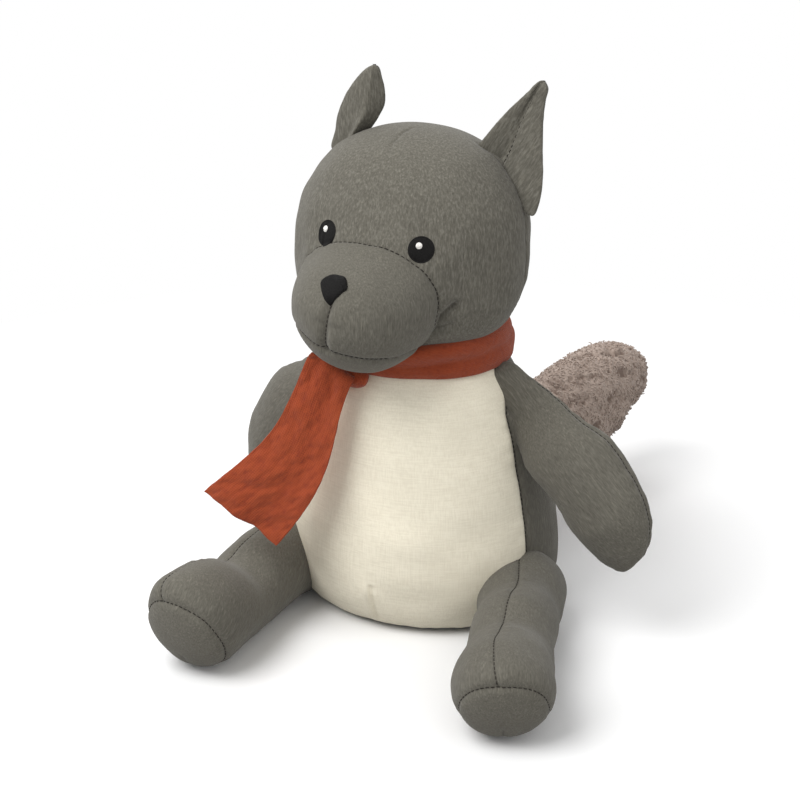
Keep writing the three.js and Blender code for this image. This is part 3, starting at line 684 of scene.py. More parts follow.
@dataclass
class SoftForm:
    """A closed soft shape through oval stations, with a pole at each end.

    Each station holds its centre and its half sizes across and over. The cloth's fibres
    run along the last row of its grain.
    """

    stations: Array
    across: Array
    over: Array
    around: int
    along: int
    sculpt: Callable[[Array, Array, Array], Array] | None = None
    plump: Callable[[Array], Array] | None = None
    grain: Array = field(default_factory=lambda: np.eye(3))
    line: Array = field(init=False)
    run: Array = field(init=False)
    axis: Array = field(init=False)

    def __post_init__(self) -> None:
        """Draws the smooth line through the stations."""
        self.line = smooth_line(np.asarray(self.stations, float))
        step = np.diff(self.line, axis=0)
        length = np.sqrt((step[:, :3] ** 2).sum(axis=1) + (step[:, 3:] ** 2).mean(axis=1))
        self.run = np.concatenate([[0], np.cumsum(length)]) / length.sum()
        self.axis = unit(np.cross(self.across, self.over))

    def share_at(self, distance: Array | float, direction: Array, start: Array) -> Array:
        """The share of the form's length at a distance from a start along a direction."""
        return np.interp(distance, (self.line[:, :3] - start) @ direction, self.run)

    def at(self, turn: Array | float, share: Array | float) -> Array:
        """Places on the form, before its seams are sewn.

        Args:
            turn: Angles round the form in radians, from across towards over.
            share: Shares of the form's length, from 0 to 1.

        Returns:
            The places, one row each.
        """
        turn, share = np.broadcast_arrays(np.asarray(turn, float), np.asarray(share, float))
        row = np.stack([np.interp(share, self.run, column) for column in self.line.T], axis=1)
        spoke = np.outer(row[:, 3] * np.cos(turn), self.across)
        spoke = spoke + np.outer(row[:, 4] * np.sin(turn), self.over)
        point = row[:, :3] + spoke
        if self.plump is not None:
            swell = self.plump(point) * ease(row[:, 3:].min(axis=1), 0, FULL_HALF)
            point = point + unit(spoke) * swell[:, None]
        return point if self.sculpt is None else self.sculpt(point, turn, share)

    def facing(self, turn: Array | float, share: Array | float) -> Array:
        """The way out of the form, before its seams are sewn.

        Args:
            turn: Angles, as in at.
            share: Shares of the form's length.

        Returns:
            Unit vectors, one row each.
        """
        turn, share = np.broadcast_arrays(np.asarray(turn, float), np.asarray(share, float))
        step = 2e-3
        inside = np.clip(share, step, 1 - step)
        round_it = self.at(turn + step, inside) - self.at(turn - step, inside)
        length = self.at(turn, inside + step) - self.at(turn, inside - step)
        return unit(np.cross(round_it, length))

    def seam(self, turn: Array | float, share: Array | float, **settings: object) -> Seam:
        """A seam along a line on the form, with the seam's other fields as settings."""
        return Seam.along(self.at(turn, share), self.facing(turn, share), **settings)

    def mesh(self, seams: Sequence[Seam] = ()) -> BMesh:
        """The form as a fine closed mesh.

        Args:
            seams: The seams that draw it in.

        Returns:
            The mesh, in metres.
        """
        mesh = bmesh.new()
        bmesh.ops.create_uvsphere(mesh, u_segments=self.around, v_segments=self.along, radius=1.0)
        ball = np.array([vert.co for vert in mesh.verts])
        turn = np.arctan2(ball[:, 1], ball[:, 0])
        share = np.arccos(np.clip(-ball[:, 2], -1, 1)) / np.pi
        points, close = drawn_in(self.at(turn, share), self.facing(turn, share), seams)
        points[:, 2] = np.maximum(points[:, 2], FLOOR_GAP)
        written(mesh, points, points @ self.grain.T, close)
        return mesh


def cut(mesh: BMesh, place: Array, away: Array) -> BMesh:
    """Cuts off what lies on the far side of a plane.

    Args:
        mesh: The mesh, which is changed.
        place: A place on the plane.
        away: The way to what is cut off.

    Returns:
        The same mesh.
    """
    bmesh.ops.bisect_plane(
        mesh,
        geom=[*mesh.verts, *mesh.edges, *mesh.faces],
        dist=1e-7,
        plane_co=Vector(place * MM),
        plane_no=Vector(away),
        clear_outer=True,
    )
    return mesh


# Thread

# A stitch's points: their places along it from its middle, and their heights over the cloth
STITCH_PLACES = np.array([-0.5, -0.38, 0, 0.38, 0.5])
STITCH_HEIGHTS = np.array([-0.9, 0.02, 0.14, 0.02, -0.9])
# The heights of the embroidery's threads from end to end, against the patch's
EYE_HEIGHTS = np.array([-0.6, 0.5, 0.9, 1, 1, 1, 0.9, 0.5, -0.6])
NOSE_HEIGHTS = np.array([-0.6, 0.4, 0.8, 0.95, 1, 1, 1, 0.95, 0.8, 0.4, -0.6])


class Ground:
    """The sewn cloth that thread work lies on."""

    def __init__(self, *meshes: BMesh) -> None:
        """Takes the meshes of the cloth."""
        self.trees = [BVHTree.FromBMesh(mesh) for mesh in meshes]

    def under(self, points: Array, normals: Array, reach: float = 6.0) -> Array:
        """The places of the cloth nearest to points.

        Args:
            points: Places close to the cloth.
            normals: The way out at each of them.
            reach: How far from a point the cloth may lie.

        Returns:
            The places on the cloth, along each point's way out.
        """
        found = points.copy()
        for index, (point, normal) in enumerate(zip(points, normals)):
            start, way = Vector((point + reach * normal) * MM), Vector(-normal)
            hits = [tree.ray_cast(start, way, 2 * reach * MM)[3] for tree in self.trees]
            gaps = [gap for gap in hits if gap is not None]
            if gaps:
                found[index] = point + normal * (reach - min(gaps) / MM)
        return found


@dataclass
class ThreadWork:
    """Lines of thread that end up as one mesh."""

    radius: float
    lines: list[Array] = field(default_factory=list)
    radii: list[Array] = field(default_factory=list)
    sides: int = 1

    def lay(self, points: Array, taper: Array | None = None) -> None:
        """Adds one thread along points, thinner where its taper is less than one."""
        self.lines.append(points)
        self.radii.append(np.ones(len(points)) if taper is None else taper)

    def sew(self, ground: Ground, points: Array, normals: Array, heights: Array | float) -> None:
        """Adds one thread at heights over the cloth that lies under points."""
        self.lay(ground.under(points, normals) + normals * np.reshape(heights, (-1, 1)))

    def stitch(self, seam: Seam, ground: Ground, length: float = 1.5, gap: float = 0.65) -> None:
        """Adds a row of stitches that dip into the cloth at both ends.

        Args:
            seam: The seam that they follow.
            ground: The cloth that they are sewn through.
            length: The length of one stitch.
            gap: The cloth between two stitches.
        """
        run = seam.run()
        both = np.column_stack([seam.points, seam.normals])
        for middle in np.arange(length / 2, run[-1] - length / 2, length + gap):
            place = middle + length * STITCH_PLACES
            row = np.stack([np.interp(place, run, column) for column in both.T], axis=1)
            self.sew(ground, row[:, :3], unit(row[:, 3:]), STITCH_HEIGHTS)

    def piece(self, name: str, material: Material) -> Piece:
        """All the threads as one piece.

        Args:
            name: The piece's name.
            material: What the thread is made of.

        Returns:
            The new piece.
        """
        curve = bpy.data.curves.new(name, "CURVE")
        curve.dimensions = "3D"
        curve.bevel_depth = self.radius * MM
        curve.bevel_resolution = self.sides
        curve.use_fill_caps = True
        for points, radii in zip(self.lines, self.radii):
            spline = curve.splines.new("POLY")
            spline.points.add(len(points) - 1)
            places = np.column_stack([points * MM, np.ones(len(points))])
            spline.points.foreach_set("co", places.ravel())
            spline.points.foreach_set("radius", radii)
        holder = bpy.data.objects.new(name + "_line", curve)
        mesh = bpy.data.meshes.new_from_object(holder)
        bpy.data.objects.remove(holder)
        mesh.shade_smooth()
        return shown(name, mesh, material)


def seam_stitches(
    name: str, seams: Sequence[Seam], ground: Ground, finishes: Finishes, radius: float = 0.2
) -> Piece:
    """The stitches along those seams that show any.

    Args:
        name: The piece's name.
        seams: The seams.
        ground: The cloth that they are sewn through.
        finishes: The wolf's materials.
        radius: The thread's radius.

    Returns:
        The new piece.
    """
    work = ThreadWork(radius)
    for seam in seams:
        if seam.stitched:
            work.stitch(seam, ground)
    stitches = work.piece(name, finishes.dark)
    return stitches


# Torso


@dataclass
class Torso:
    """The pear-shaped body: a cream belly, a grey back with a middle seam, and a grey seat."""

    rings: tuple[Triple, ...] = (
        (0, 0, 0), (0, 40, 36), (0.5, 50, 42.5), (3, 54, 47), (12, 57.6, 52.6), (25, 59, 55.2),
        (40, 58.3, 54.8), (65, 54.3, 50.2), (90, 48.6, 43.8), (108, 41, 37.5),
        (117, 34.5, 31.5), (121, 22, 20), (121.6, 0, 0),
    )
    height: float = 121.0
    lean: float = 9.0
    side_seam: float = -17.0
    shoulder_back: float = 11.0
    shoulder_low: float = 92.0
    shoulder_high: float = 116.0
    seam_top: float = 117.0
    low_lean: float = 2.0
    seat_seam: float = 1.5
    dart_low: float = 6.0
    dart_high: float = 23.0
    dart_turn: float = -88.0
    dart_fold_turn: float = -89.9
    wall: float = 1.2
    form: SoftForm = field(init=False)
    seams: list[Seam] = field(init=False)

    def __post_init__(self) -> None:
        """Draws the form and its seams."""
        rows = np.array(self.rings, float)
        forward = -self.lean * ease(rows[:, 0], 0, self.height)
        forward = forward - self.low_lean * (1 - ease(rows[:, 0], 10, 60))
        stations = np.column_stack([np.zeros(len(rows)), forward, rows])
        self.form = SoftForm(stations, X, Y, 300, 190, plump=self.plump)
        self.seams = self.sewn()

    def level(self, height: Array) -> Array:
        """The share of the form's length at a height."""
        return self.form.share_at(height, Z, np.zeros(3))

    def seam_back(self, height: Array) -> Array:
        """How far back the side seams lie at heights: their tops turn back to the shoulders."""
        turned = ease(height, self.shoulder_low, self.shoulder_high)
        return self.side_seam + self.shoulder_back * turned

    def sheared(self, mesh: BMesh, way: int) -> None:
        """Flattens the side seams into one plane, or bends them again.

        Args:
            mesh: The torso or a part of it.
            way: -1 to flatten them, or 1 to bend them.
        """
        height = np.array([vert.co.z for vert in mesh.verts]) / MM
        for vert, back in zip(mesh.verts, self.seam_back(height) - self.side_seam):
            vert.co.y += way * float(back) * MM

    def sewn(self) -> list[Seam]:
        """Lays the torso's seams.

        Returns:
            Both sides, the middle of the back, the seat, and the belly's dart with its fold.
        """
        height = np.linspace(self.seat_seam, self.seam_top, 200)
        share = self.level(height)
        line = self.form.line
        middle = np.interp(share, self.form.run, line[:, 1])
        depth = np.interp(share, self.form.run, line[:, 4])
        left = np.arcsin(np.clip((self.seam_back(height) - middle) / depth, -1, 1))
        ring = np.linspace(-np.pi, np.pi, 400)
        dart = self.level(np.linspace(self.dart_high, self.dart_low, 40))
        return [
            self.form.seam(left, share, depth=1.3, width=1.7),
            self.form.seam(np.pi - left, share, depth=1.3, width=1.7),
            self.form.seam(np.pi / 2, share, depth=1.0),
            self.form.seam(ring, self.level(self.seat_seam), depth=0.9, stitched=False),
            self.form.seam(
                math.radians(self.dart_turn), dart, depth=2.0, width=0.8, pucker=0.4, stitched=False
            ),
            self.form.seam(
                math.radians(self.dart_fold_turn), dart, depth=-0.9, width=1.0, pucker=0,
                stitched=False, shade=0,
            ),
        ]

    def plump(self, points: Array) -> Array:
        """Where the filling stands out: soft lumps, but a flat seat."""
        rise = ease(points[:, 2], 2, 18)
        return rise * (0.55 * Lumps(34, 3)(points) + 0.16 * Lumps(13, 4)(points))

    def build(self, finishes: Finishes) -> list[Piece]:
        """Makes and dresses the torso's pieces.

        Args:
            finishes: The wolf's materials.

        Returns:
            The new pieces.
        """
        whole = self.form.mesh(self.seams)
        ground = Ground(whole)
        side, seat = np.array([0, self.side_seam, 0]), np.array([0, 0, self.seat_seam])
        self.sheared(whole, -1)
        front = cut(cut(whole.copy(), side, Y), seat, -Z)
        rear = cut(cut(whole.copy(), side, -Y), seat, -Z)
        bottom = cut(whole, seat, Z)
        for mesh in (front, rear, bottom):
            self.sheared(mesh, 1)
        belly = as_piece("belly_cover", front, finishes.cream, self.wall)
        back = as_piece("back_cover", rear, finishes.grey, self.wall)
        under = as_piece("seat_cover", bottom, finishes.grey, self.wall)
        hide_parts("belly_panel")
        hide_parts("back_panel_left", "back_panel_right", "body_stuffing")
        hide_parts("seat_panel", "pellet_bag")
        stitches = seam_stitches("torso_stitches", self.seams, ground, finishes)
        for piece in (belly, back, under, stitches):
            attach(piece, "torso")
        return [belly, back, under, stitches]


@dataclass
class Neck:
    """The short cloth tube between torso and head, mostly hidden by the scarf."""

    low: float = 112.0
    high: float = 134.0
    radius: float = 28.0
    forward: float = -11.0

    def build(self, finishes: Finishes) -> list[Piece]:
        """Makes the tube and bends it between torso and neck.

        Args:
            finishes: The wolf's materials.

        Returns:
            The tube, in a list.
        """
        middle = (self.low + self.high) / 2
        rows = [
            (self.low, 0), (self.low, 0.8), (self.low + 2, 1), (middle, 0.97), (self.high - 2, 1),
            (self.high, 0.8), (self.high, 0),
        ]
        wide = self.radius
        stations = np.array([(0, self.forward, z, s * wide, s * wide) for z, s in rows])
        form = SoftForm(stations, X, Y, 72, 30)
        tube = as_piece("neck_cover", form.mesh(), finishes.grey)
        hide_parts("neck_stuffing")
        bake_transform(tube, "torso", "neck", (0, 0, 0.117), (0, 0, 0.129))
        return [tube]


# Head


def head_lumps(points: Array) -> Array:
    """Where the head's filling stands out."""
    return 0.4 * Lumps(30, 21)(points) + 0.12 * Lumps(11, 22)(points)


# Each crease in the left cheek: its widths and its heights from end to end, and its depth; each is darkened
# with strong painted shade
CHEEK_TUCKS = (((27, 34.5), (141.5, 149), 3.2), ((26, 31.5), (137, 139.5), 2.4))


@dataclass
class Skull:
    """The round head, sewn from a face and a back that meet at the ears."""

    rings: tuple[tuple[float, float], ...] = (
        (126.5, 0), (126.5, 0.42), (127, 0.62), (130.6, 0.805), (137, 0.91), (144, 0.96),
        (154, 0.988), (165, 0.99), (174, 0.98), (182.3, 0.94), (190, 0.865), (196.7, 0.77),
        (202, 0.655), (206, 0.52), (209.2, 0.36), (211.3, 0.18), (212, 0),
    )
    half_width: float = 50.3
    half_depth: float = 42.0
    forward: float = -15.0
    ear_seam: float = -9.0
    seam_low: float = 128.0
    seam_high: float = 206.0
    ball_height: float = 165.0
    ball_half: Triple = (51.5, 42.0, 42.5)
    wall: float = 1.2
    roll: float = 0.05
    roll_height: float = 172.0
    form: SoftForm = field(init=False)

    def __post_init__(self) -> None:
        """Draws the form."""
        wide, deep = self.half_width, self.half_depth
        stations = np.array([(0, self.forward, z, s * wide, s * deep) for z, s in self.rings])
        self.form = SoftForm(stations, X, Y, 260, 170, self.rolled, head_lumps)

    def rolled(self, points: Array, turn: Array, share: Array) -> Array:
        """Leans the head a little to its own left."""
        return points + np.outer(self.roll * (points[:, 2] - self.roll_height), X)

    def half_sizes(self, height: Array) -> tuple[Array, Array]:
        """The half width and half depth at heights."""
        line = self.form.line
        return np.interp(height, line[:, 2], line[:, 3]), np.interp(height, line[:, 2], line[:, 4])

    def outside(self, points: Array) -> Array:
        """Tells the head's outside from its inside.

        Args:
            points: The places to test.

        Returns:
            Numbers over 0 outside the head, and under 0 inside it.
        """
        width, depth = (np.maximum(size, 0.5) for size in self.half_sizes(points[:, 2]))
        aside = points[:, 0] - self.roll * (points[:, 2] - self.roll_height)
        reach = np.hypot(aside / width, (points[:, 1] - self.forward) / depth) - 1
        clear = (points[:, 2] < self.rings[0][0]) | (points[:, 2] > self.rings[-1][0])
        return np.where(clear, 1.0, reach)

    def front(self, x: Array, z: Array) -> tuple[Array, Array]:
        """Places on the face.

        Args:
            x: Widths, to the wolf's left.
            z: Heights.

        Returns:
            The places, and the way out at each.
        """
        step = 0.5
        width, depth = self.half_sizes(z)
        width_up, depth_up = self.half_sizes(z + step)
        deep = ball_depth(x / width)
        points = np.column_stack([x, self.forward - depth * deep, z])
        slope = -(depth_up * ball_depth(x / width_up) - depth * deep) / step
        normal = np.column_stack([x * depth / (width**2 * deep), -np.ones_like(x), slope])
        return points, unit(normal)

    def ball_facing(self, points: Array) -> Array:
        """The way out of the head at points, with the head taken as one plain ball."""
        middle = np.array([0, self.forward, self.ball_height])
        return unit((points - middle) / np.array(self.ball_half) ** 2)

    def side_seam(self, side: Side) -> Seam:
        """The seam between face and back, from the neck up to the ear.

        Args:
            side: The head's side.

        Returns:
            The seam.
        """
        height = np.linspace(self.seam_low, self.seam_high, 160)
        share = self.form.share_at(height, Z, np.zeros(3))
        depth = np.interp(share, self.form.run, self.form.line[:, 4])
        turn = np.arcsin(np.clip((self.ear_seam - self.forward) / depth, -1, 1))
        turn = turn if side is Side.LEFT else np.pi - turn
        return self.form.seam(turn, share, depth=0.7, width=1.4, stitched=False)

    def crown_dart(self) -> Seam:
        """The short dart at the top of the forehead.

        Returns:
            The dart's seam.
        """
        height = np.linspace(211.7, 206.0, 30)
        share = self.form.share_at(height, Z, np.zeros(3))
        turn = np.radians(np.linspace(-100, -92, 30))
        return self.form.seam(turn, share, depth=0.6, width=0.9, pucker=0.12, shade=0.7)

    def cheek_tucks(self) -> list[Seam]:
        """The two creases that the muzzle's seam pulls into the left cheek, with strong painted shade in
        them.

        Returns:
            A seam for each.
        """
        tucks = []
        for x, z, depth in CHEEK_TUCKS:
            points, normals = self.front(np.linspace(*x, 30), np.linspace(*z, 30))
            tucks.append(Seam.along(points, normals, depth=depth, width=2.1, pucker=0.1, shade=1.7))
        return tucks


@dataclass
class Muzzle:
    """The round-ended muzzle, with a middle seam under the nose and a seam over the chin."""

    middle: float = 149.5
    start: float = -15.0
    half_width: float = 31.0
    half_height: float = 26.5
    low_half: float = 1.1
    upper_half: float = 0.875
    left_half: float = 0.9
    reach: float = 72.0
    round_end: float = 37.0
    root_reach: float = 14.0
    root_raise: float = 8.0
    root_half_height: float = 20.0
    bridge_reach: float = 25.0
    bridge_raise: float = 3.4
    bridge_half_height: float = 23.6
    chin_seam: float = 136.0
    chin_slant: float = 0.25
    mouth_top: float = 157.0
    mouth_low: float = 137.0
    mouth_aside: float = -3.4
    form: SoftForm = field(init=False)

    def __post_init__(self) -> None:
        """Draws the form."""
        wide, high = self.half_width, self.root_half_height
        rows = [
            (self.root_reach - 1, 0, 0, self.root_raise),
            (self.root_reach - 1, 0.7 * wide, 0.7 * high, self.root_raise),
            (self.root_reach, wide, high, self.root_raise),
            (self.bridge_reach, wide, self.bridge_half_height, self.bridge_raise),
        ]
        for step in np.linspace(0, 1, 14):
            angle = step * math.pi / 2
            share = max(math.cos(angle), 0)
            reach = self.reach - self.round_end * (1 - math.sin(angle))
            rows.append((reach, share * wide, share * self.half_height, 0))
        stations = np.array([(0, self.start - d, self.middle + up, a, b) for d, a, b, up in rows])
        self.form = SoftForm(stations, X, Z, 170, 120, self.jowled, head_lumps)

    def jowled(self, points: Array, turn: Array, share: Array) -> Array:
        """Makes the muzzle deeper below its middle than above it, and narrower on its left.

        Args:
            points: Places on the muzzle.
            turn: Their angles round the form; not used.
            share: Their shares of its length; not used.

        Returns:
            The new places.
        """
        rise = points[:, 2] - self.middle
        height = self.middle + rise * np.where(rise > 0, self.upper_half, self.low_half)
        aside = points[:, 0] * np.where(points[:, 0] > 0, self.left_half, 1.0)
        return np.column_stack([aside, points[:, 1], height])

    def front(self, x: Array, z: Array) -> tuple[Array, Array]:
        """Places on the muzzle's round end.

        Args:
            x: Widths, to the wolf's left.
            z: Heights.

        Returns:
            The places, and the way out at each.
        """
        wide = self.half_width * np.where(x > 0, self.left_half, 1.0)
        tall = self.half_height * np.where(z > self.middle, self.upper_half, self.low_half)
        deep = ball_depth(np.hypot(x / wide, (z - self.middle) / tall))
        y = self.start - self.reach + self.round_end * (1 - deep)
        normal = np.column_stack([x / wide**2, -deep / self.round_end, (z - self.middle) / tall**2])
        return np.column_stack([x, y, z]), unit(normal)

    def mouth_seam(self) -> Seam:
        """The middle seam from under the nose to the chin seam."""
        x, z = np.linspace(0, self.mouth_aside, 60), np.linspace(self.mouth_top, self.mouth_low, 60)
        return Seam.along(*self.front(x, z), depth=1.9, width=2.0, pucker=0.3)

    def nose_tuck(self) -> Seam:
        """The small crease beside the nose."""
        x, z = np.linspace(4.5, 9.5, 24), np.linspace(162.5, 160, 24)
        return Seam.along(*self.front(x, z), depth=0.8, width=1.1, pucker=0.1, shade=0.5)

    def chin_line(self) -> Seam:
        """The slanting seam across the chin, round to both cheeks.

        Returns:
            The seam, from left to right.
        """
        share = np.linspace(0.32, 1, 400)
        half, steps = [], 91
        for cheek in (0.0, -np.pi):
            turn = np.linspace(-np.pi / 2, cheek, steps)
            points = self.form.at(np.tile(turn, len(share)), np.repeat(share, steps))
            over = (points @ (Z + self.chin_slant * X) - self.chin_seam).reshape(-1, steps)
            held = over[:, 0] < 0
            after = np.maximum((over[held] > 0).argmax(axis=1), 1)
            row = np.arange(held.sum())
            low, high = over[held][row, after - 1], over[held][row, after]
            part = low / (low - high)
            half.append((turn[after - 1] * (1 - part) + turn[after] * part, share[held]))
        turns = np.concatenate([half[0][0], half[1][0][::-1]])
        shares = np.concatenate([half[0][1], half[1][1][::-1]])
        return self.form.seam(turns, shares, depth=1.1, width=1.5)

    def root_line(self, skull: Skull) -> Seam:
        """The seam where the muzzle is sewn to the face, all the way round.

        Args:
            skull: The head that it is sewn to.

        Returns:
            The seam, from the left cheek over the top and round under the chin.
        """
        turns = np.radians(np.linspace(-30, 330, 361))
        shares = np.linspace(1, 0.02, 500)
        found = []
        for turn in turns:
            reach = skull.outside(self.form.at(turn, shares))
            found.append(shares[int(np.argmax(reach < 0))])
        share = np.array(found)
        points, normals = self.form.at(turns, share), self.form.facing(turns, share)
        seam = Seam.along(points, unit(normals + skull.ball_facing(points)), depth=0.8, width=1.2)
        seam.fill = 0.4 + 2.2 * ease(seam.points[:, 2], 140, 170)
        return seam


@dataclass
class Head:
    """Skull, muzzle and the embroidered face."""

    skull: Skull = field(default_factory=Skull)
    muzzle: Muzzle = field(default_factory=Muzzle)
    eye_radius: float = 4.9
    eye_spread: float = 20.5
    eye_shift: float = 2.1
    eye_height: float = 173.8
    eye_tilt: float = 0.6
    eye_lift: float = 0.1
    eye_step: float = 0.44
    glint_radius: float = 1.0
    glint_lift: float = 0.65
    glint_offset: tuple[float, float] = (0.8, 1.5)
    nose_left: float = 4.6
    nose_right: float = -6.6
    nose_tip: float = -0.6
    nose_low: float = 156.8
    nose_high: float = 166.4
    nose_step: float = 0.46
    thread: float = 0.34

    def eye_frame(self, side: Side) -> tuple[Array, Array, Array]:
        """The middle of an eye, and its own right and up.

        Args:
            side: Which eye.

        Returns:
            The place and the two directions.
        """
        x = np.array([side.value * self.eye_spread + self.eye_shift])
        z = np.array([self.eye_height - side.value * self.eye_tilt])
        point, facing = self.skull.front(x, z)
        right = unit(np.cross(facing[0], Z))
        return point[0], right, np.cross(right, facing[0])

    def satin_disc(
        self, side: Side, ground: Ground, radius: float, lift: float, offset: tuple[float, float]
    ) -> ThreadWork:
        """Side-by-side threads that fill a round patch on the face.

        Args:
            side: Which eye.
            ground: The cloth that it is sewn on.
            radius: The patch's radius.
            lift: How far the thread stands off the cloth.
            offset: How far the patch's middle lies to the right of and above the eye's.

        Returns:
            The threads.
        """
        middle, right, up = self.eye_frame(side)
        middle = middle + offset[0] * right + offset[1] * up
        work = ThreadWork(self.thread)
        for aside in np.arange(-radius + 0.15, radius, self.eye_step):
            half = math.sqrt(max(radius**2 - aside**2, 0.01))
            reach = np.linspace(-half, half, len(EYE_HEIGHTS))
            flat = middle + aside * right + np.outer(reach, up)
            points, normals = self.skull.front(flat[:, 0], flat[:, 2])
            dome = lift + 0.3 * math.sqrt(max(1 - (aside / radius) ** 2, 0))
            work.sew(ground, points, normals, EYE_HEIGHTS * dome)
        turn = np.linspace(0, 2 * np.pi, 40)
        edge = middle + radius * np.outer(np.cos(turn), right) + radius * np.outer(np.sin(turn), up)
        points, normals = self.skull.front(edge[:, 0], edge[:, 2])
        work.sew(ground, points, normals, lift - 0.15)
        return work

    def nose_thread(self, ground: Ground) -> ThreadWork:
        """Side-by-side threads that fill the nose, a rounded triangle with its point down.

        Args:
            ground: The cloth that it is sewn on.

        Returns:
            The threads.
        """
        work = ThreadWork(self.thread + 0.04)
        tip = self.nose_tip
        for x in np.arange(self.nose_right, self.nose_left, self.nose_step):
            out = (x - tip) / ((self.nose_left if x > tip else self.nose_right) - tip)
            low = self.nose_low + 5.8 * out**1.3
            high = self.nose_high - (3.2 if x > tip else 2.4) * out**3
            z = np.linspace(low, max(high, low + 0.8), len(NOSE_HEIGHTS))
            points, normals = self.muzzle.front(np.full_like(z, x), z)
            dome = 0.45 + 0.6 * math.sqrt(max(1 - out**2, 0))
            work.sew(ground, points, normals, NOSE_HEIGHTS * dome)
        return work

    def dents(self) -> list[Seam]:
        """The small hollows that the embroidery pulls into the face.

        Returns:
            A seam of one point for each eye.
        """
        found = []
        for side in Side:
            middle, right, up = self.eye_frame(side)
            normal = np.cross(up, right)[None]
            found.append(Seam(middle[None], normal, depth=0.4, width=8.0, pucker=0, stitched=False))
        return found

    def build(self, finishes: Finishes) -> list[Piece]:
        """Makes and dresses the head's pieces.

        Args:
            finishes: The wolf's materials.

        Returns:
            The new pieces.
        """
        root = self.muzzle.root_line(self.skull)
        dart = self.skull.crown_dart()
        sides = [self.skull.side_seam(side) for side in Side]
        mouth, chin = self.muzzle.mouth_seam(), self.muzzle.chin_line()
        whole = self.skull.form.mesh([root, dart, *self.skull.cheek_tucks(), *sides, *self.dents()])
        snout = self.muzzle.form.mesh([root, mouth, chin, self.muzzle.nose_tuck()])
        ground = Ground(whole, snout)
        ears, lip = np.array([0, self.skull.ear_seam, 0]), np.array([0, 0, self.muzzle.chin_seam])
        down = -unit(Z + self.muzzle.chin_slant * X)
        brushed, grey, wall = finishes.brushed, finishes.grey, self.skull.wall
        face = as_piece("face_cover", cut(whole.copy(), ears, Y), brushed, wall)
        back = as_piece("head_back_cover", cut(whole, ears, -Y), brushed, wall)
        upper = as_piece("muzzle_cover", cut(snout.copy(), lip, down), grey, wall)
        lower = as_piece("chin_cover", cut(snout, lip, -down), grey, wall)
        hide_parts("face_panel", "head_stuffing")
        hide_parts("head_back_panel")
        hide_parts("muzzle_panel")
        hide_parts("chin_panel")
        covers = [face, back, upper, lower]
        top = len(root.points) * 240 // 360
        seen = Seam(root.points[:top], root.normals[:top], depth=root.depth)
        front = slice(len(chin.points) * 3 // 10, len(chin.points) * 7 // 10)
        lip_front = Seam(chin.points[front], chin.normals[front], depth=chin.depth)
        stitches = seam_stitches("head_stitches", (seen, mouth, lip_front), ground, finishes)
        nose = self.nose_thread(ground).piece("nose_thread", finishes.black)
        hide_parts("nose")
        pieces = [*covers, stitches, nose]
        for side in Side:
            pieces += self.dress_eye(side, ground, finishes)
        for piece in pieces:
            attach(piece, "head")
        return pieces

    def dress_eye(self, side: Side, ground: Ground, finishes: Finishes) -> list[Piece]:
        """Makes one embroidered eye with its white glint.

        Args:
            side: Which eye.
            ground: The cloth that it is sewn on.
            finishes: The wolf's materials.

        Returns:
            The eye and its glint.
        """
        disc = self.satin_disc(side, ground, self.eye_radius, self.eye_lift, (0, 0))
        eye = disc.piece(f"eye_{side.word}_thread", finishes.black)
        dot = self.satin_disc(side, ground, self.glint_radius, self.glint_lift, self.glint_offset)
        glint = dot.piece(f"eye_{side.word}_glint_thread", finishes.white)
        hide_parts(f"eye_{side.word}")
        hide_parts(f"eye_glint_{side.word}")
        return [eye, glint]


# Each ear's half widths towards the crown and away from it, at shares of its height
LEFT_EAR_OUTLINE = (
    (0.0, 20.5, 15.0), (0.15, 19.0, 15.0), (0.3, 16.5, 13.2), (0.5, 13.0, 9.2), (0.7, 8.6, 5.4),
    (0.85, 5.0, 3.4), (0.95, 2.8, 2.6), (1.0, 0.0, 0.0),
)
RIGHT_EAR_OUTLINE = (
    (0.0, 6.0, 6.5), (0.2, 7.6, 8.4), (0.4, 9.6, 10.2), (0.55, 9.8, 10.4), (0.7, 7.4, 9.6),
    (0.85, 3.6, 7.6), (0.95, 0.4, 5.0), (1.0, -2.2, 2.2),
)


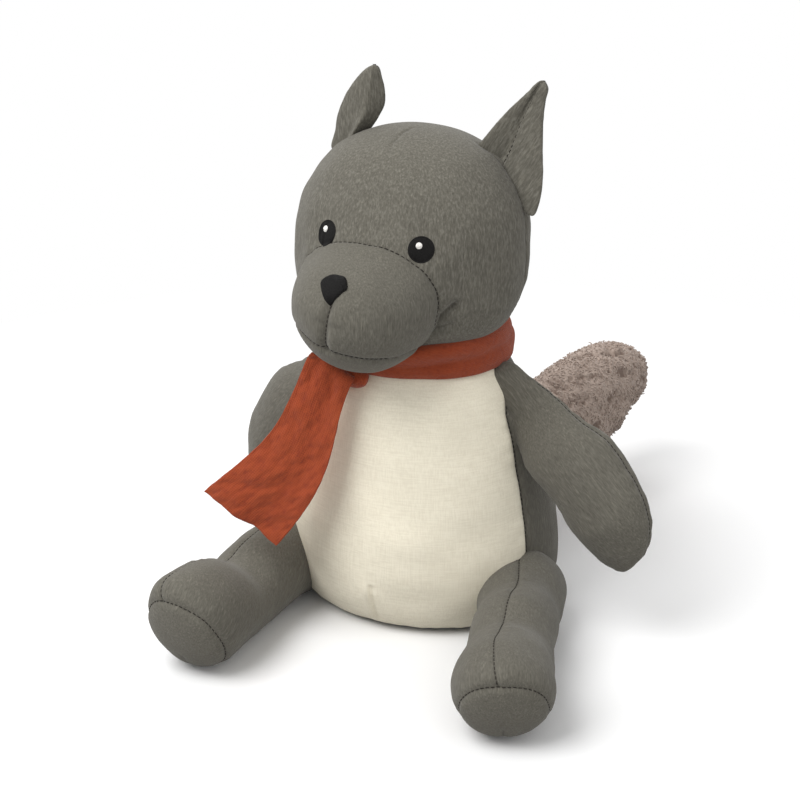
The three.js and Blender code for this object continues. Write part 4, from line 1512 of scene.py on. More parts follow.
@dataclass
class Ear:
    """A flat ear of two layers, creased along its length and sewn to the head along its root."""

    side: Side
    length: float
    outline: tuple[Triple, ...]
    crease: float
    lean: float
    tilt: float
    pleat: float
    root: float = 7.0
    half_thickness: float = 2.0
    crease_share: float = 1 / 3
    lip: float = 0.0
    head_middle: Triple = (0.0, -15.0, 169.5)
    bend: tuple[float, float] = (-2.0, 9.0)
    base: Array = field(init=False)
    rise: Array = field(init=False)
    width: Array = field(init=False)
    facing: Array = field(init=False)

    def __post_init__(self) -> None:
        """Finds the ear's own directions from its hinge."""
        hinge = Hinge.named(f"ear_{self.side.word}_flop")
        self.base = hinge.place
        inward = -self.side.value * hinge.axis
        outward = self.base - np.array(self.head_middle)
        outward = unit(outward - inward * (outward @ inward))
        facing = np.cross(inward, outward) * self.side.value
        lean = -self.side.value * self.lean
        self.rise = turned(turned(outward, facing, lean), hinge.axis, self.tilt)
        self.width = turned(turned(inward, facing, lean / 2), hinge.axis, self.tilt)
        self.facing = turned(facing, hinge.axis, self.tilt)

    def taper(self, v: Array) -> Array:
        """The ear's width at shares of its height, against its greatest width."""
        height, inner, outer = np.array(self.outline).T
        return np.interp(v, height, (inner + outer) / (inner + outer).max())

    def height_share(self, points: Array) -> Array:
        """How far up the ear points lie, from 0 at the root to 1 at the tip."""
        up = (points - self.base) @ self.rise
        return np.clip((up + self.root) / (self.length + self.root), 0, 1)

    def ridge(self, v: Array) -> Array:
        """Where the sewn fold lies across the ear, from -1 to 1, at a share of its height."""
        return self.crease_share - 0.15 * np.sin(np.pi * v)

    def creased(self, points: Array, turn: Array, share: Array) -> Array:
        """Folds the flat ear along its crease, rolls its lip and pleats its root.

        Args:
            points: Places on the ear.
            turn: Their angles round the form.
            share: Their shares of its length; not used.

        Returns:
            The new places.
        """
        u, v = np.cos(turn), self.height_share(points)
        tent = np.minimum((1 - u) / (1 - self.crease_share), (1 + u) / (1 + self.crease_share))
        past = self.ridge(v) - u
        roll = ease(past, -0.1, 0.1) * np.exp(-np.maximum(past, 0) / 0.5)
        fold = self.crease * tent - self.lip * roll
        tuck = self.pleat * np.exp(-(((u - 0.45) / 0.2) ** 2)) * (1 - ease(v, 0.3, 0.62))
        return points + np.outer(fold * self.taper(v) - tuck, self.facing)

    def form(self) -> SoftForm:
        """The ear as a thin soft form.

        Returns:
            The form.
        """
        rows = [[*(self.base - self.root * self.rise), 0, 0]]
        for v, inner, outer in self.outline:
            half, shift = (inner + outer) / 2, (inner - outer) / 2
            up = (self.length + self.root) * v - self.root
            centre = self.base + up * self.rise + shift * self.width
            rows.append([*centre, half, min(self.half_thickness, 0.7 * half)])
        over = -self.side.value * self.facing
        grain = np.array([self.width, self.facing, self.rise])
        cloth = (self.creased, self.crinkled, grain)
        return SoftForm(np.array(rows), self.width, over, 120, 110, *cloth)

    def crinkled(self, points: Array) -> Array:
        """Where the ear's cloth is uneven."""
        return 0.15 * Lumps(12, 31)(points)

    def build(self, finishes: Finishes) -> list[Piece]:
        """Makes the ear with its edge seams, and on the left ear its sewn crease.

        Args:
            finishes: The wolf's materials.

        Returns:
            The new pieces.
        """
        form = self.form()
        share = np.linspace(0.12, 0.995, 160)
        edges = [
            form.seam(turn, share, depth=0.5, width=0.8, pucker=0.1, stitched=False)
            for turn in (0.0, math.pi)
        ]
        sewn = np.linspace(0.2, 0.965, 160)
        ridge_turn = self.side.value * np.arccos(self.ridge(sewn) + 0.04)
        ridge = form.seam(ridge_turn, sewn, depth=0.9, width=0.8, pucker=0.3)
        seams = [*edges, ridge] if self.side is Side.LEFT else edges
        mesh = form.mesh(seams)
        ground = Ground(mesh)
        ear = as_piece(f"ear_{self.side.word}_cloth", mesh, finishes.brushed)
        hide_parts(f"ear_{self.side.word}_outer", f"ear_{self.side.word}_inner")
        pieces = [ear]
        if self.side is Side.LEFT:
            pieces.append(seam_stitches("ear_left_stitches", seams, ground, finishes))
        low, high = (self.base + reach * self.rise for reach in self.bend)
        for piece in pieces:
            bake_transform(piece, "head", f"ear_{self.side.word}", low * MM, high * MM)
        return pieces


# Limbs and tail


def limb(
    root: Array, direction: Array, front: Array, rows: Sequence[Sequence[float]]
) -> tuple[Array, Array, Array]:
    """Stations of a limb along a direction.

    Args:
        root: Where the limb starts.
        direction: Which way it runs.
        front: Roughly the way that its over side faces.
        rows: A distance, half sizes across and over, and shifts across and over, for each station.

    Returns:
        The stations, and the limb's own across and over directions.
    """
    across = unit(np.cross(front, direction))
    over = np.cross(direction, across)
    stations = []
    for distance, half_across, half_over, shift_across, shift_over in rows:
        centre = root + distance * direction + shift_across * across + shift_over * over
        stations.append([*centre, half_across, half_over])
    return np.array(stations), across, over


# An arm's half width and upward shift at distances from its hinge
ARM_OUTLINE = (
    (-18, 10.5, 2.5), (-8, 12.4, 3.6), (2, 13.8, 5.2), (12, 15.4, 7.0), (21, 17.2, 8.6),
    (32, 18.8, 10.4), (42, 19.1, 10.6), (52, 18.8, 9.2), (60, 17.5, 7.8), (68, 15.3, 6.1),
    (73.5, 12.3, 4.4), (77, 9.2, 2.7), (79.2, 5.0, 0.9), (80, 0, 0.2),
)


@dataclass
class Arm:
    """A flat flipper of two panels, sewn into the side seam."""

    side: Side
    droop: float
    back: float
    length: float = 80.0
    half_thickness: float = 11.5
    root_half_thickness: float = 4.6
    root_half_width: float = 8.0
    root_raise: float = 2.0
    inside: float = 20.0
    slim: float = 1.0
    root_back: float = 0.0
    set_back: float = 0.0
    swell_to: float = 34.0
    tuck_to: float = 26.0
    round_end: float = 19.0
    thread: float = 0.18
    bend: tuple[float, float] = (-1.0, 15.0)

    def build(self, finishes: Finishes) -> list[Piece]:
        """Makes the arm and bends it from the torso at its root.

        Args:
            finishes: The wolf's materials.

        Returns:
            The new pieces.
        """
        name = f"arm_{self.side.word}"
        hinge = Hinge.named(f"{name}_swing")
        straight = turned(self.side.value * X, Y, self.side.value * self.droop)
        direction = turned(straight, hinge.axis, self.back)
        front = turned(-Y, hinge.axis, self.back)
        thin, up = self.root_half_thickness, self.side.value
        shifts = (self.root_raise * up, -self.root_back)
        rows = [
            (-self.inside, 0, 0, *shifts),
            (-self.inside, self.root_half_width, 0.7 * thin, *shifts),
        ]
        for reach, width, shift in (row for row in ARM_OUTLINE if row[0] > 1 - self.inside):
            swell = thin + (self.half_thickness - thin) * float(ease(reach, 0, self.swell_to))
            thick = swell * min(1.0, math.sqrt(max(self.length - reach, 0) / self.round_end))
            tucked = self.set_back + self.root_back * (1 - float(ease(reach, 0, self.tuck_to)))
            rows.append((reach, self.slim * width, thick, self.slim * shift * up, -tucked))
        stations, across, over = limb(hinge.place, direction, front, rows)
        grain = np.array([across, over, direction])
        form = SoftForm(stations, across, over, 120, 120, plump=self.plump, grain=grain)
        share = np.linspace(0.2, 1, 160)
        seams = [form.seam(turn, share, depth=0.8, width=1.2) for turn in (0.0, math.pi)]
        mesh = form.mesh(seams)
        ground = Ground(mesh)
        arm = as_piece(f"{name}_cover", mesh, finishes.grey)
        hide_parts(f"{name}_front_panel", f"{name}_back_panel", f"{name}_stuffing")
        stitches = seam_stitches(f"{name}_stitches", seams, ground, finishes, self.thread)
        low, high = (hinge.place + reach * direction for reach in self.bend)
        for piece in (arm, stitches):
            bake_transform(piece, "torso", name, low * MM, high * MM)
        return [arm, stitches]

    def plump(self, points: Array) -> Array:
        """Where the filling stands out."""
        return 0.35 * Lumps(24, 41 + self.side.value)(points) + 0.1 * Lumps(9, 43)(points)


# How much of the foot's size is left at distances from its end
FOOT_ROUNDING = ((12, 0.98), (6, 0.86), (2, 0.58), (0.4, 0.26), (0, 0))


@dataclass
class Leg:
    """A stuffed tube with a seam along its top and a round sole on its end."""

    side: Side
    splay: float
    length: float = 114.0
    thigh: float = 20.5
    thigh_half_width: float = 17.0
    ankle: float = 18.0
    foot: float = 20.0
    sole_depth: float = 6.5
    tip: float = 0.36
    toes_in: float = 1.4
    seam_from: float = 0.5
    seam_to: float = 0.58
    sole_slope: float = 0.03
    root_out: float = 5.0
    root_low: float = 2.5
    toe_rise: float = 0.0
    bend: float = 30.0

    def build(self, finishes: Finishes) -> list[Piece]:
        """Makes the leg and bends it from the torso at the hip.

        Args:
            finishes: The wolf's materials.

        Returns:
            The new pieces.
        """
        name = f"leg_{self.side.word}"
        hip = Hinge.named(f"{name}_spread").place
        direction = turned(-Y, Z, self.side.value * self.splay)
        end, foot = self.length, self.foot
        thigh, ankle, out = self.thigh, self.ankle, self.side.value
        wide, toes = self.thigh_half_width, -self.toes_in * out
        root, low, rise = self.root_out * out, self.root_low, self.toe_rise / 2
        rows = [
            (-2, 0, 0, root, -low),
            (-2, 0.7 * wide, 0.6 * thigh, root, -low),
            (0, wide, thigh - low, root, -low),
            (0.28 * end, wide, thigh - low + 0.5, root - 0.5 * out, 0.5 - low),
            (0.48 * end, wide + 0.5, thigh - 2, 0.2 * root + 1.5 * out, -2),
            (0.6 * end, ankle, ankle - 1.4, 1.5 * out, -3.0),
            (0.7 * end, ankle + 0.9, ankle + 0.3 + 0.6 * rise, 0.3 * out, 0.6 * rise - 1.6),
            (0.82 * end, foot, foot + rise, toes, rise),
        ]
        for short, share in FOOT_ROUNDING:
            rows.append((end - short, share * foot, share * (foot + rise), toes, rise))
        stations, across, over = limb(hip, direction, Z, rows)

        def tipped(points: Array, turn: Array, share: Array) -> Array:
            """Tips the foot: its upper half comes forward and its lower half goes back.

            Args:
                points: Places on the leg.
                turn: Their angles round the form; not used.
                share: Their shares of its length; not used.

            Returns:
                The new places.
            """
            along, height = (points - hip) @ direction, (points - hip) @ over
            push = self.tip * height * ease(along, 0.7 * end, 0.92 * end)
            return points + np.outer(push, direction)

        grain = np.array([across, unit(over + direction), unit(over - direction)])
        form = SoftForm(stations, across, over, 130, 140, tipped, self.plump, grain)
        sole = float(form.share_at(end - self.sole_depth, direction, hip))
        ring = np.linspace(-np.pi, np.pi, 300)
        top = np.linspace(self.seam_from, self.seam_to, 200) * np.pi
        to_toes = np.linspace(0.1, sole + self.sole_slope * math.sin(top[-1]), 200)
        seams = [
            form.seam(top, to_toes, depth=0.8, width=1.2),
            form.seam(-math.pi / 2, to_toes, depth=0.4, width=1.3, stitched=False),
            form.seam(ring, sole + self.sole_slope * np.sin(ring), depth=0.9, width=1.2),
        ]
        mesh = form.mesh(seams)
        ground = Ground(mesh)
        leg = as_piece(f"{name}_cover", mesh, finishes.grey)
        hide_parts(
            f"{name}_inner_panel", f"{name}_outer_panel", f"{name}_sole", f"{name}_stuffing"
        )
        stitches = seam_stitches(f"{name}_stitches", seams, ground, finishes)
        for piece in (leg, stitches):
            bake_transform(piece, "torso", name, hip * MM, (hip + self.bend * direction) * MM)
        return [leg, stitches]

    def plump(self, points: Array) -> Array:
        """Where the filling stands out, except where the leg rests on the floor."""
        rest = ease(points[:, 2], 1, 10)
        return rest * (0.4 * Lumps(24, 51 + self.side.value)(points) + 0.12 * Lumps(9, 53)(points))


# Steps that spread any number of points evenly over a square, along and across
EVEN_STEPS = (0.7548776662, 0.5698402910)
# A lock's points: their places along it, their heights over the tail and its thickness there
LOCK_PLACES = np.array([0.0, 0.4, 0.75, 1.0])
LOCK_HEIGHTS = np.array([-0.4, 0.3, 0.4, 0.1])
LOCK_TAPER = np.array([1.0, 1.0, 0.7, 0.2])


@dataclass
class Tail:
    """A leaf of short curly fur on a narrow root."""

    length: float = 127.5
    half_width: float = 18.0
    half_height: float = 24.5
    tip_drop: float = 2.5
    drop_from: float = 70.0
    root_start: float = -6.0
    root_drop: float = 1.2
    root_half: float = 11.5
    swell_from: float = -18.0
    swell_share: float = 0.6
    round_end: float = 50.0
    rise: float = 11.0
    turn: float = 14.0
    lock_length: float = 1.4
    lock_radius: float = 0.38
    locks: int = 8000
    bend: float = 14.0
    notch: float = 5.0
    notch_radius: float = 8.0
    notch_place: Triple = (39.2, 152.3, 33.4)

    def form(self) -> tuple[SoftForm, Array, Array]:
        """The tail under its fur.

        Returns:
            The form, its root and its direction.
        """
        pivot = Hinge.named("tail_wag").place
        flat = turned(Y, Z, -self.turn)
        direction = flat * math.cos(math.radians(self.rise)) + Z * math.sin(math.radians(self.rise))
        start, narrow = self.root_start, 0.7 * self.root_half
        rows = [(start, half, half, 0, -self.root_drop) for half in (0, narrow)]
        for distance in [*np.linspace(-4, 100, 14), *np.linspace(106, self.length, 12)]:
            grown = (distance - self.swell_from) / (self.length - self.swell_from)
            swell = float(ease(grown, 0, self.swell_share))
            past = max(0.0, (distance - self.length + self.round_end) / self.round_end)
            rounding = math.sqrt(max(1 - past * past, 0))
            width = (self.root_half + (self.half_width - self.root_half) * swell) * rounding
            height = (self.root_half + (self.half_height - self.root_half) * swell) * rounding
            fallen = float(ease(distance, self.drop_from, self.length))
            drop = self.root_drop + self.tip_drop * fallen
            rows.append((float(distance), width, height, 0, -drop))
        stations, across, over = limb(pivot, direction, Z, rows)
        return SoftForm(stations, across, over, 220, 260, plump=self.plump), pivot, direction

    def build(self, finishes: Finishes) -> list[Piece]:
        """Makes the tail's lumpy core and the locks of fur on it.

        Args:
            finishes: The wolf's materials.

        Returns:
            The new pieces.
        """
        form, pivot, direction = self.form()
        mesh = form.mesh()
        # The hollows between the curls are written into the seam attribute as painted shade
        dark = mesh.verts.layers.float["seam"]
        hollows = self.pits(np.array([vert.co for vert in mesh.verts]) / MM)
        for vert, hollow in zip(mesh.verts, hollows):
            vert[dark] = hollow
        core = as_piece("tail_core", mesh, finishes.fur)
        fur = self.fur(form).piece("tail_fur", finishes.fur)
        grain = fur.data.attributes.new("grain", "FLOAT_VECTOR", "POINT")
        places = np.empty(len(fur.data.vertices) * 3, np.float32)
        fur.data.vertices.foreach_get("co", places)
        grain.data.foreach_set("vector", places)
        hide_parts("tail_stuffing")
        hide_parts("tail_fur_cover")
        for piece in (core, fur):
            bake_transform(piece, "torso", "tail", pivot * MM, (pivot + self.bend * direction) * MM)
        return [core, fur]

    def pits(self, points: Array) -> Array:
        """How deep the hollows between the fur's curls are, from 0 to 1."""
        return ease(Lumps(7.5, 66)(points) + 0.5 * Lumps(2.8, 67)(points), 0.5, 1.3)

    def plump(self, points: Array) -> Array:
        """The clumps of the fur's ground.

        Args:
            points: Places on the tail.

        Returns:
            How far they stand out.
        """
        clumps = 0.45 * Lumps(5.2, 61)(points) + 0.2 * Lumps(2.4, 65)(points)
        far = np.linalg.norm(points - np.array(self.notch_place), axis=1) / self.notch_radius
        clumps = clumps - self.notch * np.exp(-(far**2))
        return clumps + 0.5 * Lumps(24, 62)(points) - 1.4 * self.pits(points)

    def fur(self, form: SoftForm) -> ThreadWork:
        """Short curved locks all over the tail, each bent its own way.

        Args:
            form: The tail under its fur.

        Returns:
            The locks.
        """
        rng = np.random.default_rng(63)
        order = np.arange(1, self.locks + 1)
        share = 0.04 + 0.955 * ((order * EVEN_STEPS[0]) % 1)
        turn = 2 * np.pi * ((order * EVEN_STEPS[1]) % 1)
        size = np.interp(share, form.run, form.line[:, 3])
        kept = rng.uniform(size=self.locks) < np.clip(size / self.half_width, 0.25, 1)
        kept &= self.pits(form.at(turn, share)) < 0.4
        share, turn = share[kept], turn[kept]
        points, normals = form.at(turn, share), form.facing(turn, share)
        swirl = 2.6 * Lumps(12, 64)(points) + rng.normal(0, 0.7, len(points))
        flow = unit(form.axis - normals * (normals @ form.axis)[:, None])
        side = np.cross(normals, flow)
        lie = np.cos(swirl)[:, None] * flow + np.sin(swirl)[:, None] * side
        length = self.lock_length * rng.uniform(0.7, 1.25, len(points))
        curl = rng.uniform(-0.7, 0.7, len(points))
        work = ThreadWork(self.lock_radius, sides=0)
        for i in range(len(points)):
            bend = np.outer(curl[i] * LOCK_PLACES**2 * length[i], side[i])
            lock = points[i] + np.outer(LOCK_PLACES * length[i], lie[i]) + bend
            work.lay(lock + np.outer(LOCK_HEIGHTS, normals[i]), LOCK_TAPER)
        return work


# Scarf


def grid_piece(
    name: str,
    columns: int,
    rows: int,
    place: Placing,
    material: Material,
    wall: float,
    closed: bool = False,
) -> Piece:
    """A strip of cloth from a flat grid.

    Args:
        name: The piece's name.
        columns: How many cells the grid has across.
        rows: How many cells it has along.
        place: Gives places and the cloth's own flat coordinates for u and v from 0 to 1.
        material: What the cloth is made of.
        wall: The cloth's thickness.
        closed: True where the strip's two ends meet and are joined.

    Returns:
        The new piece.
    """
    mesh = bmesh.new()
    bmesh.ops.create_grid(mesh, x_segments=columns, y_segments=rows, size=1.0)
    flat = np.array([vert.co for vert in mesh.verts])
    points, grain = place((flat[:, 0] + 1) / 2, (flat[:, 1] + 1) / 2)
    written(mesh, points, grain, np.zeros(len(points)))
    if closed:
        bmesh.ops.remove_doubles(mesh, verts=mesh.verts, dist=2e-6)
    return as_piece(name, mesh, material, wall, offset=0)


# The wound band's section: shares of its width from the lower edge, and how far out and up they lie
BAND_SECTION = np.array(
    [
        (0.00, 0.4, 3.5), (0.07, 2.6, 0.7), (0.14, 4.4, 0.0), (0.26, 5.6, 3.0), (0.38, 5.7, 7.4),
        (0.50, 5.0, 10.4), (0.63, 5.4, 14.0), (0.76, 4.8, 17.8), (0.87, 3.0, 20.4),
        (0.95, 0.8, 21.6), (1.00, -1.6, 21.3),
    ]
)


@dataclass
class Scarf:
    """One strip of gauze wound round the neck and knotted under the chin, with two hanging ends."""

    middle: float = -9.0
    half_width: float = 35.6
    half_depth: float = 33.2
    low: float = 114.2
    high: float = 131.0
    dip: float = 5.0
    dip_width: float = 0.55
    swell: float = 0.8
    lean: float = 4.5
    weave_width: float = 34.0
    weave_length: float = 270.0
    cloth: float = 0.9
    knot_height: float = 113.0
    knot_half: Triple = (15.0, 6.6, 6.0)
    knot_turn: float = 25.0
    end_length: float = 74.0
    end_shift: float = -4.0
    end_top: float = 21.0
    end_width: float = 38.0
    end_turn: float = 12.0
    end_tilt: float = 10.0
    under_width: float = 0.84
    over: float = 11.0
    over_short: float = 0.7
    over_fall: float = 0.35
    over_back: float = 0.94
    over_narrow: float = 0.2
    curl: float = 3.4
    apart: float = 3.5
    fold: float = 1.2
    bow: float = 4.5
    strip_width: float = 40.0

    def band_place(self, u: Array, v: Array) -> tuple[Array, Array]:
        """Places of the wound band.

        Args:
            u: Shares of the way round the neck.
            v: Shares of the way from the lower to the upper edge.

        Returns:
            The places, and the cloth's flat coordinates there.
        """
        turn = 2 * np.pi * u - np.pi / 2
        line = smooth_line(BAND_SECTION, 300)
        out = self.swell * np.interp(v, line[:, 0], line[:, 1])
        up = np.interp(v, line[:, 0], line[:, 2]) / BAND_SECTION[:, 2].max()
        front = np.exp(-((2 * np.pi * np.minimum(u, 1 - u) / self.dip_width) ** 2))
        tall = self.high - self.low - self.dip * front
        ring = np.column_stack([np.cos(turn), np.sin(turn), np.zeros_like(turn)])
        wave = Lumps(46, 71)(60 * ring + np.column_stack([0 * v, 0 * v, 26 * v]))
        flat = [[self.weave_length * (u - lap), self.weave_width * v, 0 * u] for lap in (0, 1)]
        fine, again = (Lumps(9, 72)(np.column_stack(columns), (2.5, 1, 1)) for columns in flat)
        joined = ease(u, 0.9, 1)
        fine = fine * (1 - joined) + again * joined
        out = out + 0.7 * wave + 0.28 * fine
        lean = self.lean * ease(up, 0.3, 1)
        points = np.column_stack(
            [
                (self.half_width + out) * np.cos(turn),
                self.middle - lean + (self.half_depth + out) * np.sin(turn),
                self.low + tall * up + 0.8 * wave * (1 - np.abs(2 * up - 1)),
            ]
        )
        round_it = self.weave_length * np.minimum(u, 1 - u) * 2
        return points, np.column_stack([self.weave_width * v, round_it, np.zeros_like(u)])

    def end_place(
        self, ahead: float, wide: float, length: float, over: float, seed: int
    ) -> Placing:
        """Places of one hanging end: u runs across it and v down it.

        Args:
            ahead: How far it hangs in front of the hinge.
            wide: Its width against the front end's.
            length: How far it hangs down.
            over: How much more of it goes up and back over the knot.
            seed: Which crinkles it gets.

        Returns:
            A function of u and v.
        """
        hinge = Hinge.named("scarf_ends_lift")
        across = hinge.axis
        facing = turned(-Y, Z, self.end_turn)
        out = unit(facing - across * (facing @ across))
        out = turned(out, across, self.end_tilt)
        down = np.cross(out, across)
        if down[2] > 0:
            down = -down
        toward = 1.0 if across[0] > 0 else -1.0

        def place(u: Array, v: Array) -> tuple[Array, Array]:
            """Hangs the cloth.

            Args:
                u: Shares of the way across it.
                v: Shares of the way down it.

            Returns:
                The places, and the cloth's flat coordinates there.
            """
            across_by = 2 * u - 1
            reach = (length + over) * v - over
            high = (1 - toward * across_by) / 2
            v, wound = np.maximum(reach, 0) / length, np.maximum(-reach, 0)
            wound = wound * (1 - self.over_short * high)
            turn = np.minimum(wound / self.curl, np.pi / 2)
            past = np.maximum(wound - self.curl * np.pi / 2, 0)
            rise = self.curl * np.sin(turn) - self.over_fall * past
            back = self.curl * (1 - np.cos(turn)) + self.over_back * past
            half = wide * (self.end_top + (self.end_width - self.end_top) * ease(v, 0, 1.1)) / 2
            half = half * (1 - self.over_narrow * ease(wound, 0, 12))
            fold = self.fold * v * np.sin(1.5 * np.pi * across_by)
            gather = 0.35 * (1 - ease(v, 0.05, 0.5)) * np.sin(2.3 * np.pi * across_by + 0.6)
            flat = np.column_stack([half * across_by, reach, 0 * u])
            crinkle = 0.28 * Lumps(6, seed)(flat, (1, 1.7, 1))
            crinkle = crinkle + 0.5 * Lumps(15, seed + 1)(flat, (1, 2, 1))
            crinkle = crinkle + 0.16 * Lumps(3.2, seed + 6)(flat, (1, 1.6, 1))
            hem = 0.6 * v**4 * Lumps(13, seed + 2)(flat)
            points = hinge.place + np.outer(length * v + hem - rise, down)
            sway = self.bow * np.sin(np.pi * v) + self.end_shift * (1 - ease(v, 0, 0.6))
            points = points + np.outer(sway * toward + half * across_by, across)
            points = points + np.outer(ahead + fold + gather + crinkle - back, out)
            return points, flat

        return place

    def build(self, finishes: Finishes) -> list[Piece]:
        """Makes and dresses the scarf's pieces.

        Args:
            finishes: The wolf's materials.

        Returns:
            The new pieces.
        """
        band = grid_piece(
            "scarf_band_cloth", 300, 44, self.band_place, finishes.rust, self.cloth, True
        )
        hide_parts("scarf_neck_band")
        knot = self.knot(finishes)
        under_length = self.end_length - 2 * self.apart
        front = grid_piece(
            "scarf_end_front_cloth", 70, 130,
            self.end_place(self.apart, 1.0, self.end_length, self.over, 73),
            finishes.rust, self.cloth,
        )
        under = grid_piece(
            "scarf_end_under_cloth", 70, 120,
            self.end_place(0, self.under_width, under_length, 0, 76),
            finishes.rust, self.cloth,
        )
        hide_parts("scarf_end_front")
        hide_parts("scarf_end_under")
        hinge = Hinge.named("scarf_ends_lift").place * MM
        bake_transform(band, "torso", "neck", (0, 0, 0.114), (0, 0, 0.130))
        for piece in (front, under):
            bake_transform(piece, "torso", "scarf_ends", hinge, hinge - 0.014 * Z)
        return [band, knot, front, under]

    def knot(self, finishes: Finishes) -> Piece:
        """The knot, a small folded bundle on the band.

        Args:
            finishes: The wolf's materials.

        Returns:
            The new piece.
        """
        facing = turned(-Y, Z, -self.knot_turn)
        across = np.cross(facing, Z)
        middle = np.array([0, self.middle, self.knot_height]) + (self.half_depth + 6) * facing
        wide, deep, tall = self.knot_half
        rows = []
        for angle in np.linspace(-math.pi / 2, math.pi / 2, 15):
            size = math.cos(angle) if abs(angle) < 1.57 else 0
            rows.append([*(middle + wide * math.sin(angle) * across), deep * size, tall * size])

        def folded(points: Array, turn: Array, share: Array) -> Array:
            """Raises slanting folds on the bundle."""
            ridge = 0.8 * np.sin(3 * turn + 5 * share) * np.sin(np.pi * share)
            return points + unit(points - middle) * ridge[:, None]

        form = SoftForm(np.array(rows), np.cross(Z, across), Z, 72, 60, folded)
        knot = as_piece("scarf_knot_cloth", form.mesh(), finishes.rust)
        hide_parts("scarf_knot")
        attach(knot, "torso")
        return knot


# Studio


@dataclass(frozen=True)
class Lamp:
    """A soft square lamp that points at the wolf."""

    name: str
    place: Triple
    size: float
    power: float
    aim_height: float = 100.0

    def build(self) -> None:
        """Hangs the lamp in the scene."""
        data = bpy.data.lights.new(self.name, "AREA")
        data.shape = "SQUARE"
        data.size = self.size * MM
        data.energy = self.power
        lamp = bpy.data.objects.new(self.name, data)
        lamp.location = Vector(self.place) * MM
        aim = Vector(self.place) * MM - Vector((0, 0, self.aim_height * MM))
        lamp.rotation_mode = "QUATERNION"
        lamp.rotation_quaternion = aim.to_track_quat("Z", "Y")
        bpy.context.scene.collection.objects.link(lamp)


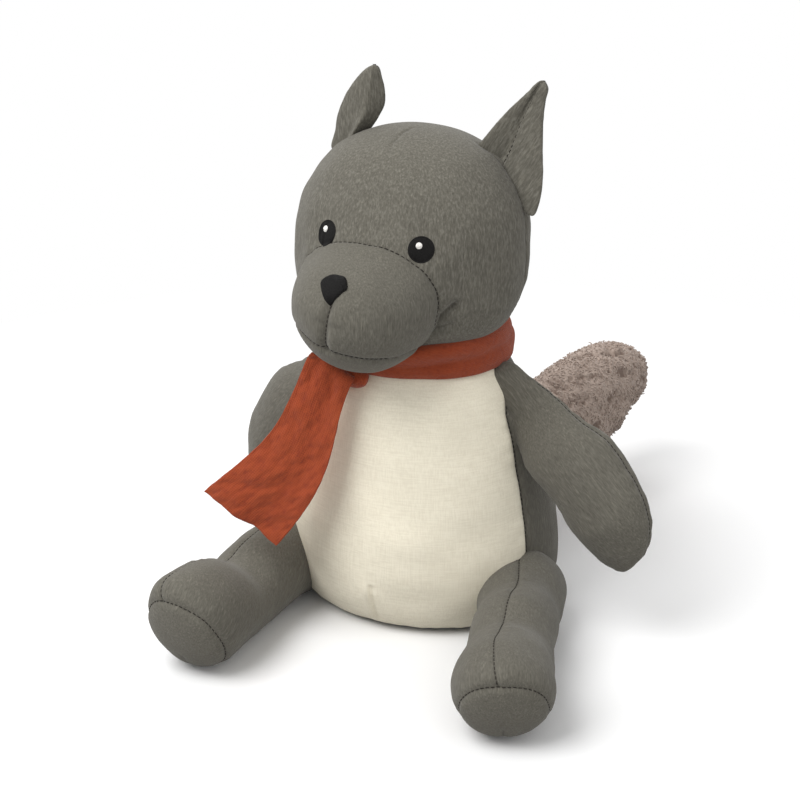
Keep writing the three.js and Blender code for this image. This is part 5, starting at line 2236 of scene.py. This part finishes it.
@dataclass
class Studio:
    """A pale floor, soft lamps and the camera at the photograph's angle."""

    azimuth: float = 27.5
    elevation: float = 22.0
    distance: float = 900.0
    target: Triple = (-10.7, -5.6, 87.0)
    focal_pixels: float = 2088.0
    frame_pixels: float = 800.0
    sensor: float = 36.0
    floor_half: float = 6000.0
    floor_colour: Colour = srgb(250, 250, 250)
    floor_bounce: Colour = srgb(190, 190, 190)
    fade_from: float = 150.0
    fade_to: float = 420.0
    sky_light: float = 0.6
    lamps: tuple[Lamp, ...] = (
        Lamp("key_lamp", (-380, -720, 1150), 900, 15.0),
        Lamp("fill_lamp", (900, -500, 500), 900, 1.6),
        Lamp("rim_lamp", (-500, 700, 800), 800, 4.0),
    )

    def build(self) -> None:
        """Sets the stage."""
        self.camera()
        self.floor()
        for lamp in self.lamps:
            lamp.build()
        self.sky()

    def camera(self) -> None:
        """The camera."""
        turn, rise = math.radians(self.azimuth), math.radians(self.elevation)
        back = Vector(
            (math.sin(turn) * math.cos(rise), -math.cos(turn) * math.cos(rise), math.sin(rise))
        )
        data = bpy.data.cameras.new("camera")
        data.sensor_width = self.sensor
        data.lens = self.sensor * self.focal_pixels / self.frame_pixels
        data.clip_start, data.clip_end = 0.01, 20.0
        camera = bpy.data.objects.new("camera", data)
        camera.location = Vector(self.target) * MM + back * self.distance * MM
        camera.rotation_mode = "QUATERNION"
        camera.rotation_quaternion = back.to_track_quat("Z", "Y")
        bpy.context.scene.collection.objects.link(camera)
        bpy.context.scene.camera = camera

    def floor(self) -> None:
        """A wide pale floor that goes over into the white surround."""
        mesh = bmesh.new()
        bmesh.ops.create_grid(mesh, x_segments=2, y_segments=2, size=self.floor_half * MM)
        data = bpy.data.meshes.new("floor")
        mesh.to_mesh(data)
        mesh.free()
        graph = Graph("pale_floor", roughness=1.0, sheen=0.0, specular=0.0)
        seen = self.looked_at(graph.tree)
        colour = graph.mixed(seen, self.floor_bounce, self.floor_colour)
        graph.put(graph.shader.inputs["Base Color"], colour)
        place = graph.node("TexCoord", {}).outputs["Object"]
        far = graph.node("VectorMath", {0: place}, operation="LENGTH").outputs["Value"]
        paling = graph.between(far, self.fade_from * MM, self.fade_to * MM)
        fade = graph.sums("MULTIPLY", seen, paling)
        white = graph.node("Emission", {}).outputs["Emission"]
        mix = graph.node("MixShader", {"Fac": fade, 1: graph.shader.outputs["BSDF"], 2: white})
        graph.put(graph.output.inputs["Surface"], mix.outputs["Shader"])
        floor = shown("floor", data, graph.material)

    def looked_at(self, tree: bpy.types.NodeTree) -> Socket:
        """Tells the rays that show the surround from those that only light the wolf.

        Args:
            tree: The nodes of the floor or of the sky.

        Returns:
            A socket that is 1 for the camera's rays and for those that gloss or glass sends on.
        """
        path = tree.nodes.new("ShaderNodeLightPath")
        seen = path.outputs["Is Camera Ray"]
        for kind in ("Is Glossy Ray", "Is Transmission Ray"):
            more = tree.nodes.new("ShaderNodeMath")
            more.operation = "MAXIMUM"
            tree.links.new(seen, more.inputs[0])
            tree.links.new(path.outputs[kind], more.inputs[1])
            seen = more.outputs["Value"]
        return seen

    def sky(self) -> None:
        """An even white surround."""
        world = bpy.data.worlds.new("surround")
        world.use_nodes = True
        bpy.context.scene.world = world
        nodes, links = world.node_tree.nodes, world.node_tree.links
        nodes.clear()
        output = nodes.new("ShaderNodeOutputWorld")
        seen, light = nodes.new("ShaderNodeBackground"), nodes.new("ShaderNodeBackground")
        for node, strength in ((seen, 1.0), (light, self.sky_light)):
            node.inputs["Color"].default_value = (1, 1, 1, 1)
            node.inputs["Strength"].default_value = strength
        mix = nodes.new("ShaderNodeMixShader")
        links.new(self.looked_at(world.node_tree), mix.inputs["Fac"])
        links.new(light.outputs["Background"], mix.inputs[1])
        links.new(seen.outputs["Background"], mix.inputs[2])
        links.new(mix.outputs["Shader"], output.inputs["Surface"])
        bpy.context.scene.view_settings.view_transform = "Standard"


def main() -> None:
    """Builds the stage and every part of the wolf, in order."""
    logging.basicConfig(level=logging.INFO, format="%(name)s: %(message)s")
    Studio().build()
    finishes = Finishes()
    parts = [
        Torso(),
        Neck(),
        Head(),
        Ear(Side.LEFT, 42.0, LEFT_EAR_OUTLINE, crease=5.0, lean=28.0, tilt=0.0, pleat=0.0, lip=3.2),
        Ear(Side.RIGHT, 35.0, RIGHT_EAR_OUTLINE, crease=-3.0, lean=54.0, tilt=12.0, pleat=4.0),
        Arm(Side.LEFT, droop=45.0, back=0.0, root_back=6.0),
        Arm(
            Side.RIGHT, droop=46.0, back=42.0, half_thickness=9.2, inside=9.0, slim=0.85,
            root_back=3.0, set_back=2.3,
        ),
        Leg(Side.LEFT, 26.0, 117.0, tip=0.25, sole_slope=0.055, root_out=7.2, root_low=4.5),
        Leg(Side.RIGHT, 4.0, tip=0.2, seam_from=0.53, seam_to=0.64, sole_slope=0.055, toe_rise=4.5),
        Tail(),
        Scarf(),
    ]
    for part in parts:
        for piece in part.build(finishes):
            log.info("%s: %d faces", piece.name, len(piece.data.polygons))


if __name__ == "__main__":
    main()
